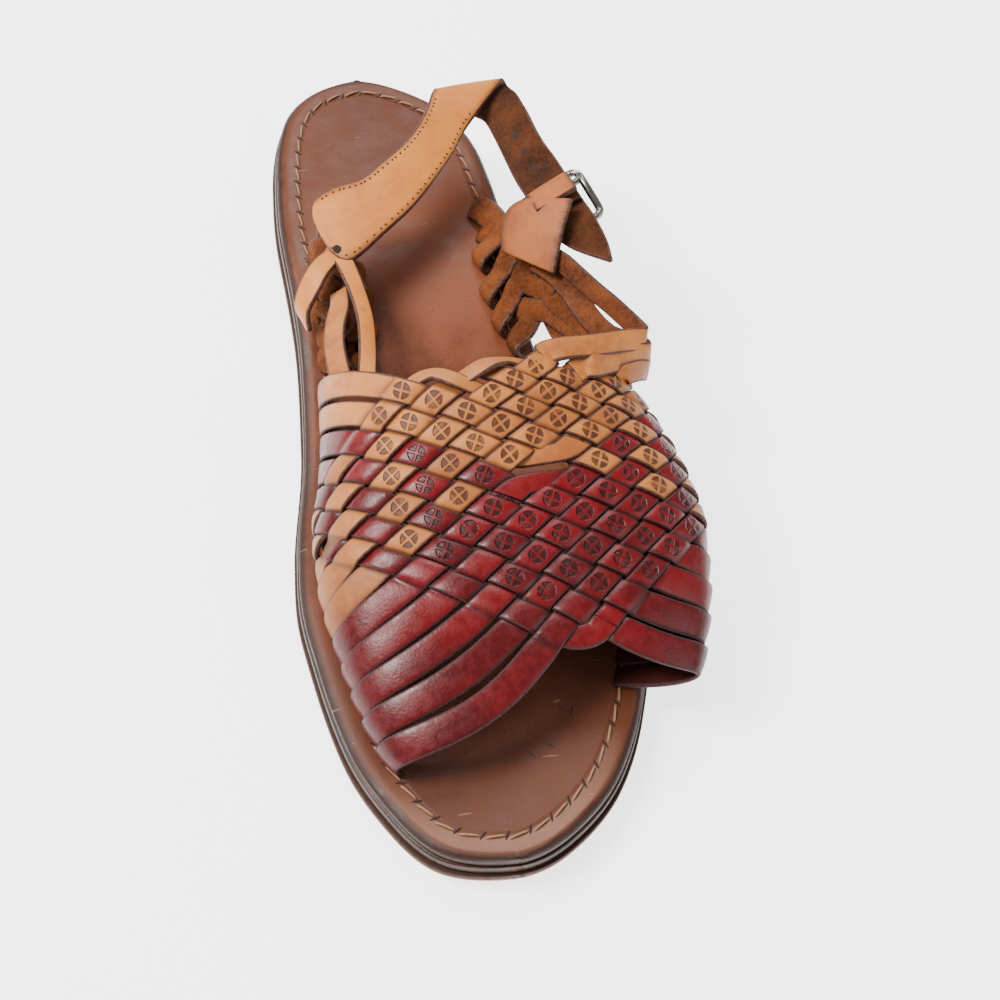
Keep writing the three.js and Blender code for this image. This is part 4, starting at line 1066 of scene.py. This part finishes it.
STRAP_BACK = [
    ((25.6, 88, 40.6), (40.6, 89.4, 44.6)), ((30.3, 85, 39.6), (41.4, 80.6, 46.6)),
    ((32, 78.5, 39.4), (42.4, 71.5, 47)), ((33.1, 69.5, 39.8), (43.6, 65, 47.4))]

buckle_along = unit(TOWARD_HEEL)
buckle_across = unit(ACROSS_BUCKLE - buckle_along * np.dot(ACROSS_BUCKLE, buckle_along))
buckle_out = np.cross(buckle_along, buckle_across)


def by_buckle(along, across, out):
    return BAR_CENTRE + buckle_along * along + buckle_across * across + buckle_out * out


TAB_LAYER = FRAME_WIRE / 2 + BUCKLE_GAP + TAB_THICKNESS / 2
STRAP_OVER_TAB = TAB_LAYER + TAB_THICKNESS / 2 + BUCKLE_GAP + STRAP_THICKNESS / 2
STRAP_UNDER_FRAME = FRAME_ARCH - FRAME_WIRE / 2 - BUCKLE_GAP - STRAP_THICKNESS / 2


def strap_pairs():
    """Edge pairs of the whole strap, with the stretch through the buckle and the free tail."""
    pairs = [(*a, *b) for a, b in STRAP_FRONT + STRAP_FOLD + STRAP_BACK]

    def add(along, out, width=12.8, across=0.0):
        pairs.append((*by_buckle(along, across - width / 2, out),
                      *by_buckle(along, across + width / 2, out)))

    add(FRAME_LENGTH * 0.85, STRAP_UNDER_FRAME - 0.3)
    add(FRAME_LENGTH / 2, STRAP_UNDER_FRAME)
    add(3, STRAP_OVER_TAB)
    add(-3.5, STRAP_OVER_TAB)
    add(-FRAME_LENGTH * 0.4, STRAP_UNDER_FRAME - 0.2)
    add(-FRAME_LENGTH * 0.58, STRAP_UNDER_FRAME - 0.1, 12, 0.4)
    add(-FRAME_LENGTH * 0.82, STRAP_UNDER_FRAME + 1.6, 9.6, 1.4)
    add(-20, STRAP_UNDER_FRAME + 2.6, 6, 2.6)
    add(-25, STRAP_UNDER_FRAME + 3, 1.3, 3.6)
    return np.array(pairs)


strap_leather, hole_shade_and_mark_mesh, stitches = Mesh(), Mesh(), Mesh()


def dots(mesh, points, normals, radius, depth, sides=8, along=None, stretch=1.0):
    """Small round marks that stand a hair proud of a surface, dark like a hole's mouth: painted shade where
    they stand for a hole.
    """
    turns = [2 * math.pi * q / sides for q in range(sides)]
    for k, (p, n) in enumerate(zip(points, normals)):
        n = unit(n)
        a = unit(np.cross(n, np.array([0.3, 0.2, 0.9]))) if along is None else unit(along[k])
        b = np.cross(n, a)
        spokes = [(a * math.cos(turn) * stretch + b * math.sin(turn)) * radius for turn in turns]
        ring = [p + n * depth * 0.2 + spoke for spoke in spokes]
        top = [p + n * depth + spoke * 0.55 for spoke in spokes]
        faces = [[q, (q + 1) % sides, sides + (q + 1) % sides, sides + q] for q in range(sides)]
        faces.append([sides + q for q in range(sides)])
        mesh.add(ring + top, faces, 0)


def stitch_marks(mesh, points, normals, length, radius, tilt):
    """Short thread stitches along a line: low humps with sunk ends."""
    for k in range(len(points)):
        before, after = points[max(k - 1, 0)], points[min(k + 1, len(points) - 1)]
        along = unit(after - before)
        n = unit(normals[k])
        side = np.cross(n, along)
        direction = unit(along + side * tilt)
        path = [points[k] + direction * length * t + n * h for t, h in
                ((-0.5, -0.25), (-0.42, 0.12), (-0.2, 0.34), (0.2, 0.34), (0.42, 0.12), (0.5, -0.25))]
        tube(mesh, path, [radius * 0.7, radius, radius, radius, radius, radius * 0.7], 7)


PIN_HOLE_PITCH, PIN_HOLE_INSET = 1.9, 1.5
SIZE_HOLES = (34, 41, 48, 55)


def make_strap():
    """The heel strap with its rows of pin holes, its size holes and the hole for the thongs, all drawn as
    dark marks of painted shade.
    """
    smooth = spline(strap_pairs(), 12)
    middle, edges = resample((smooth[:, :3] + smooth[:, 3:]) / 2, smooth[:, 3:] - smooth[:, :3], 0.7)
    widths = np.linalg.norm(edges, axis=1)
    acrosses = edges / widths[:, None]
    tangents = np.gradient(middle, axis=0)
    normals = np.array([unit(np.cross(acrosses[k], unit(tangents[k]))) for k in range(len(middle))])
    travel = lengths_along(middle)
    ribbon(strap_leather, middle, normals, widths, STRAP_THICKNESS, crown=0.15, edge=0.5, tint=0.55,
           acrosses=acrosses)
    front = smooth[:len(STRAP_FRONT) * 12]
    fold_travel = lengths_along((front[:, :3] + front[:, 3:]) / 2)[-1] - 9

    def on_strap(place, share, height):
        k = min(int(np.interp(place, travel, np.arange(len(middle)))), len(middle) - 1)
        return middle[k] + edges[k] * share + normals[k] * height, normals[k]

    # pin-hole lines along both edges of the grain side, up to the fold, as dark marks of painted shade
    for sign in (-1, 1):
        marks, outs = [], []
        for place in np.arange(5, fold_travel, PIN_HOLE_PITCH):
            k = int(np.interp(place, travel, np.arange(len(middle))))
            share = sign * (0.5 - PIN_HOLE_INSET / widths[k])
            point, normal = on_strap(place, share, STRAP_THICKNESS / 2 + 0.06)
            marks.append(point)
            outs.append(normal)
        dots(hole_shade_and_mark_mesh, marks, outs, 0.33, 0.1, 7)
    # size holes for the pin, and the hole at the strap's low end, as dark marks of painted shade
    for from_tip in SIZE_HOLES:
        for side in (-1, 1):
            point, normal = on_strap(travel[-1] - from_tip, 0, side * (STRAP_THICKNESS / 2 + 0.04))
            dots(hole_shade_and_mark_mesh, [point], [normal * side], 0.95, 0.12, 12)
    dots(hole_shade_and_mark_mesh, [np.array([-18.2, 40.8, 39.6])], [np.array([0.0, -0.25, 0.95])], 1.2, 0.12, 14)


make_strap()

# Two thongs from the hole at the strap's low end, and a strip beside them
faced_strip(strap_leather, [
    (-18.2, 44, 37.4, -0.3, -0.4, 0.85), (-19.6, 40.4, 37.4, -0.4, -0.4, 0.8),
    (-23.4, 36.8, 36.6, -0.5, -0.45, 0.75),
    (-27, 32.6, 33.2, -0.7, -0.45, 0.6), (-29, 29.5, 29.5, -0.85, -0.3, 0.3),
    (-28, 27.5, 25, -0.9, -0.1, 0)],
    widths=([0, 0.25, 0.5, 1], [4.6, 5.6, 6.6, 6.2]), tint=0.5)
faced_strip(strap_leather, [
    (-17.4, 44, 37.8, -0.1, -0.4, 0.9), (-17.4, 40.2, 37.6, -0.1, -0.4, 0.9),
    (-16.4, 36.2, 37.8, 0.1, -0.45, 0.9),
    (-14.8, 29, 36.4, 0.2, -0.35, 0.9), (-13.8, 20.6, 34.4, 0.25, -0.25, 0.9),
    (-14.4, 12, 33, 0.2, -0.1, 0.95),
    (-15.6, 4.5, 33, 0.1, 0.1, 1), (-17, -3, 35, 0, 0.2, 1)],
    widths=([0, 0.15, 0.3, 1], [4.4, 5, 4.6, 4.8]), tint=0.5)
faced_strip(tan_strips, [
    (-18.6, 33, 31, -0.5, -0.1, 0.8), (-19.4, 27, 32.6, -0.4, -0.3, 0.85),
    (-21.4, 21, 32.6, -0.4, -0.2, 0.9),
    (-22.6, 15, 32, -0.35, -0.1, 0.95), (-22.8, 8.4, 31.8, -0.3, 0, 0.95),
    (-22.6, 1, 33, -0.3, 0.2, 0.9)], width=5.8)

# Buckle

tab_mesh, buckle_mesh, prong_mesh = Mesh(), Mesh(), Mesh()


def make_tab():
    """The suede flap on the quarter, and the tab that goes from it round the buckle's bar."""
    flap = spline([(31.8, 30.4, 39, 0.56, -0.77, 0.28, 19), (32.6, 34.4, 41.8, 0.57, -0.77, 0.28, 20.5),
                   (34.6, 38.6, 45.4, 0.6, -0.74, 0.28, 19.5), (36.8, 40.8, 48.2, 0.66, -0.66, 0.34, 17),
                   (39, 42, 50.2, 0.74, -0.5, 0.4, 13.5)], 10)
    points, more = resample(flap[:, :3], flap[:, 3:], 0.6)
    acrosses = np.array([unit(m[:3]) for m in more])
    ribbon(tab_mesh, points, acrosses, more[:, 3], 1.4, crown=0.1, edge=0.5, acrosses=acrosses, tint=0.3)
    rows = [(*by_buckle(-4.4, 0, -TAB_LAYER + 0.1), *buckle_across, 12.4)]
    for k in range(9):
        turn = math.pi * (k / 8 - 0.5)
        rows.append((*by_buckle(1 + TAB_LAYER * math.cos(turn), 0, TAB_LAYER * math.sin(turn)),
                     *buckle_across, 12.5))
    rows.append((*by_buckle(-3.5, 0, TAB_LAYER), *buckle_across, 12.5))
    smooth = spline(rows, 6)
    points, more = resample(smooth[:, :3], smooth[:, 3:], 0.6)
    tangents = np.gradient(points, axis=0)
    normals = [unit(np.cross(more[k][:3], unit(tangents[k]))) for k in range(len(points))]
    ribbon(tab_mesh, points, normals, more[:, 3], TAB_THICKNESS, crown=0.12, edge=0.45, tint=0.5)


make_tab()


def make_buckle():
    """Arched wire frame with its bar, and the pin rolled round the bar."""
    long, wide = FRAME_LENGTH / 2, FRAME_WIDTH / 2
    loop = []
    for side in (1, -1):
        half = [(long, side * (wide - 2.6), FRAME_ARCH), (long - 0.5, side * (wide - 0.7), FRAME_ARCH - 0.1),
                (long - 1.8, side * wide, FRAME_ARCH - 0.5), (4, side * wide, 1.9)]
        rail = [(-a, b, c) for a, b, c in half] + [(0, side * wide, 0.2)] + half[::-1]
        loop += rail if side > 0 else rail[::-1]
    smooth = spline(loop + loop[:3], 8)[8:-8]
    tube(buckle_mesh, [by_buckle(*p) for p in smooth[:-1]], FRAME_WIRE / 2, 14, closed=True)
    bar = [by_buckle(0, mix(-wide, wide, k / 20), 0.1) for k in range(21)]
    tube(buckle_mesh, bar, FRAME_WIRE / 2 * 0.9, 14)
    rest = FRAME_ARCH + FRAME_WIRE / 2 + 0.8 + BUCKLE_GAP
    pin = spline([(1.6, 0, 1.3), (2.6, 0, 3.5), (4.2, 0, rest - 1), (7, 0, rest), (long + 2, 0, rest)], 8)
    radii = np.interp(np.linspace(0, 1, len(pin)), [0, 0.85, 1], [0.8, 0.8, 0.45])
    tube(prong_mesh, [by_buckle(*p) for p in pin], radii, 14)
    inner = FRAME_WIRE / 2 + BUCKLE_GAP
    sleeve = [by_buckle((inner + 0.45) * math.cos(t), 0, (inner + 0.45) * math.sin(t))
              for t in np.linspace(0, 2 * math.pi, 29)[:-1]]
    for offset in (-0.85, 0, 0.85):
        tube(prong_mesh, [p + buckle_across * offset for p in sleeve], 0.5, 10, closed=True)


make_buckle()

n = Nodes("nickel")
fine_wear = n.noise(500, 4, 0.6)
wear = n.noise(90, 3)
metal_color = n.mix(n.ramp(wear, 0.35, 0.7), srgb(112, 108, 102), srgb(160, 156, 148))
nickel = n.finish(metal_color, n.ramp(fine_wear, 0.3, 0.7, 0.2, 0.36), n.bump(fine_wear, 0.15, 0.0001),
                  Metallic=1.0)
# painted shade: the dark colour of the holes' mouths; the nail's dots and the scars get the same dark colour
n = Nodes("hole_shade_and_marks")
hole_shade_and_marks = n.finish(n.mix(n.noise(800), srgb(24, 12, 8), srgb(48, 26, 18)), 0.9)
n = Nodes("thread")
twist = n.noise(1800, 3, 0.7)
thread = n.finish(n.mix(twist, srgb(118, 84, 58), srgb(164, 126, 94)), 0.8, n.bump(twist, 0.6, 0.0002))

for mesh, name, materials, node in (
        (strap_leather, "heel_strap", [strap_grain, tan_edge, strap_flesh], "upper"),
        (tan_strips, "vamp_tan_strips", TAN, "upper"),
        (red_strips, "vamp_red_strips", RED, "upper"),
        (quarter_mesh, "quarter_strips", [suede, suede_edge, suede], "upper"),
        (tab_mesh, "buckle_tab", [tab_grain, suede_edge, suede], "upper"),
        (buckle_mesh, "buckle_frame", [nickel], "buckle"),
        (prong_mesh, "buckle_pin", [nickel], "buckle_prong")):
    piece = mesh.build(name, materials, node)
    flip_if_inward(piece)
    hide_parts(node)

# Stitches round the insole

STITCH_INSET, STITCH_PITCH, STITCH_LENGTH, THREAD_RADIUS = 5.9, 6.0, 4.9, 0.3
UP = np.array([0, 0, 1.0])
curve, outward = outline_curve(INSOLE_INSET)
line = curve - outward * (STITCH_INSET if np.dot(outward[100], curve[100]) > 0 else -STITCH_INSET)
line = np.array([(x, y, insole_top(y) + 0.05) for x, y in line])
line = np.vstack([line, line[:1]])
travel = lengths_along(line)
count = round(travel[-1] / STITCH_PITCH)
places = (np.arange(count) + 0.5) * travel[-1] / count
marks = np.stack([np.interp(places, travel, line[:, c]) for c in range(3)], axis=1)
ups = [UP] * count
stitch_marks(stitches, marks, ups, STITCH_LENGTH, THREAD_RADIUS, tilt=0.14)
# dark slits of painted shade where the thread goes into the insole
slits, directions = [], []
for k in range(count):
    along = unit(marks[(k + 1) % count] - marks[k - 1])
    slits.append((marks[k] + marks[(k + 1) % count]) / 2)
    directions.append(unit(along * 0.75 + np.cross(UP, along)))
dots(hole_shade_and_mark_mesh, slits, ups, 0.3, 0.1, along=directions, stretch=4.6)

# A nail's dots and a few short scars near the toe; a scar is x, y, turn and length
SCARS = [(20, -88, 1.1, 3.2), (17.6, -87, 2.0, 1.6), (8, -98, 2.2, 3.6), (13, -96.5, 2.3, 2.6),
         (3, -91, 2.0, 1.4)]
for x, y in ((9.5, -79), (10.2, -80.2)):
    dots(hole_shade_and_mark_mesh, [np.array([x, y, insole_top(y) + 0.02])], [UP], 0.7, 0.1, 10)
for x, y, turn, length in SCARS:
    dots(hole_shade_and_mark_mesh, [np.array([x, y, insole_top(y) + 0.02])], [UP], 0.13, 0.08,
         along=[np.array([math.cos(turn), math.sin(turn), 0])], stretch=length / 0.26)
stitches.build("insole_stitches", [thread], "insole")
hole_shade_and_mark_mesh.build("hole_shade_and_mark_mesh", [hole_shade_and_marks], "insole")

# Floor, lights, camera

bpy.ops.mesh.primitive_plane_add(size=60, location=(0, 0, -0.0002))
floor = bpy.context.object
floor.name = "floor"
n = Nodes("floor_paper")
grain = n.noise(40, 3)
floor.data.materials.append(n.finish(n.mix(grain, (0.9, 0.9, 0.9, 1), (0.94, 0.94, 0.94, 1)), 0.95,
                                     Emission_Color=(1, 1, 1, 1), Emission_Strength=2.4))

world = bpy.data.worlds.new("studio")
bpy.context.scene.world = world
world.use_nodes = True
background = world.node_tree.nodes["Background"]
background.inputs[0].default_value = (0.95, 0.97, 1.0, 1)
background.inputs[1].default_value = 0.5


def area_light(name, place, target, size, energy, color=(1, 1, 1)):
    data = bpy.data.lights.new(name, "AREA")
    data.size = size
    data.energy = energy
    data.color = color
    lamp = bpy.data.objects.new(name, data)
    bpy.context.collection.objects.link(lamp)
    lamp.location = place
    lamp.rotation_euler = (Vector(target) - Vector(place)).to_track_quat("-Z", "Y").to_euler()


area_light("key", (-0.7, 0.1, 0.9), (0, 0, 0.02), 0.45, 23, (1, 0.98, 0.95))
area_light("top", (0.1, 0.75, 0.9), (0, 0, 0.02), 0.6, 8)
area_light("side", (0.7, -0.6, 0.6), (0, 0, 0.03), 0.6, 2.5)

# A pinhole camera fitted to the photo; its picture is shifted onto this one shoe by aiming it
CAMERA_PLACE = Vector(((-61.4 + SIDE_SHIFT) / 1000, -0.2507, 0.3508))
forward = Vector((0.08502, 0.59410, -0.79988))
right = Vector((0.98992, -0.14166, 0))
up = Vector((0.11332, 0.79182, 0.60015))
IMAGE_SIZE = 1000
FOCAL_PIXELS = 1393
AIM_PIXEL = (648, 558)
CLOSER = 1.14
aim = (forward * FOCAL_PIXELS + right * (AIM_PIXEL[0] - IMAGE_SIZE / 2)
       - up * (AIM_PIXEL[1] - IMAGE_SIZE / 2))
camera_data = bpy.data.cameras.new("camera")
camera = bpy.data.objects.new("camera", camera_data)
bpy.context.collection.objects.link(camera)
camera.location = CAMERA_PLACE
look = aim.normalized()
side_axis = (right - look * right.dot(look)).normalized()
up_axis = side_axis.cross(look).normalized()
camera.matrix_world = Matrix((
    (side_axis.x, up_axis.x, -look.x, CAMERA_PLACE.x),
    (side_axis.y, up_axis.y, -look.y, CAMERA_PLACE.y),
    (side_axis.z, up_axis.z, -look.z, CAMERA_PLACE.z),
    (0, 0, 0, 1)))
camera_data.sensor_width = 36
camera_data.lens = camera_data.sensor_width * FOCAL_PIXELS * CLOSER / IMAGE_SIZE
camera_data.clip_start = 0.01
bpy.context.scene.camera = camera
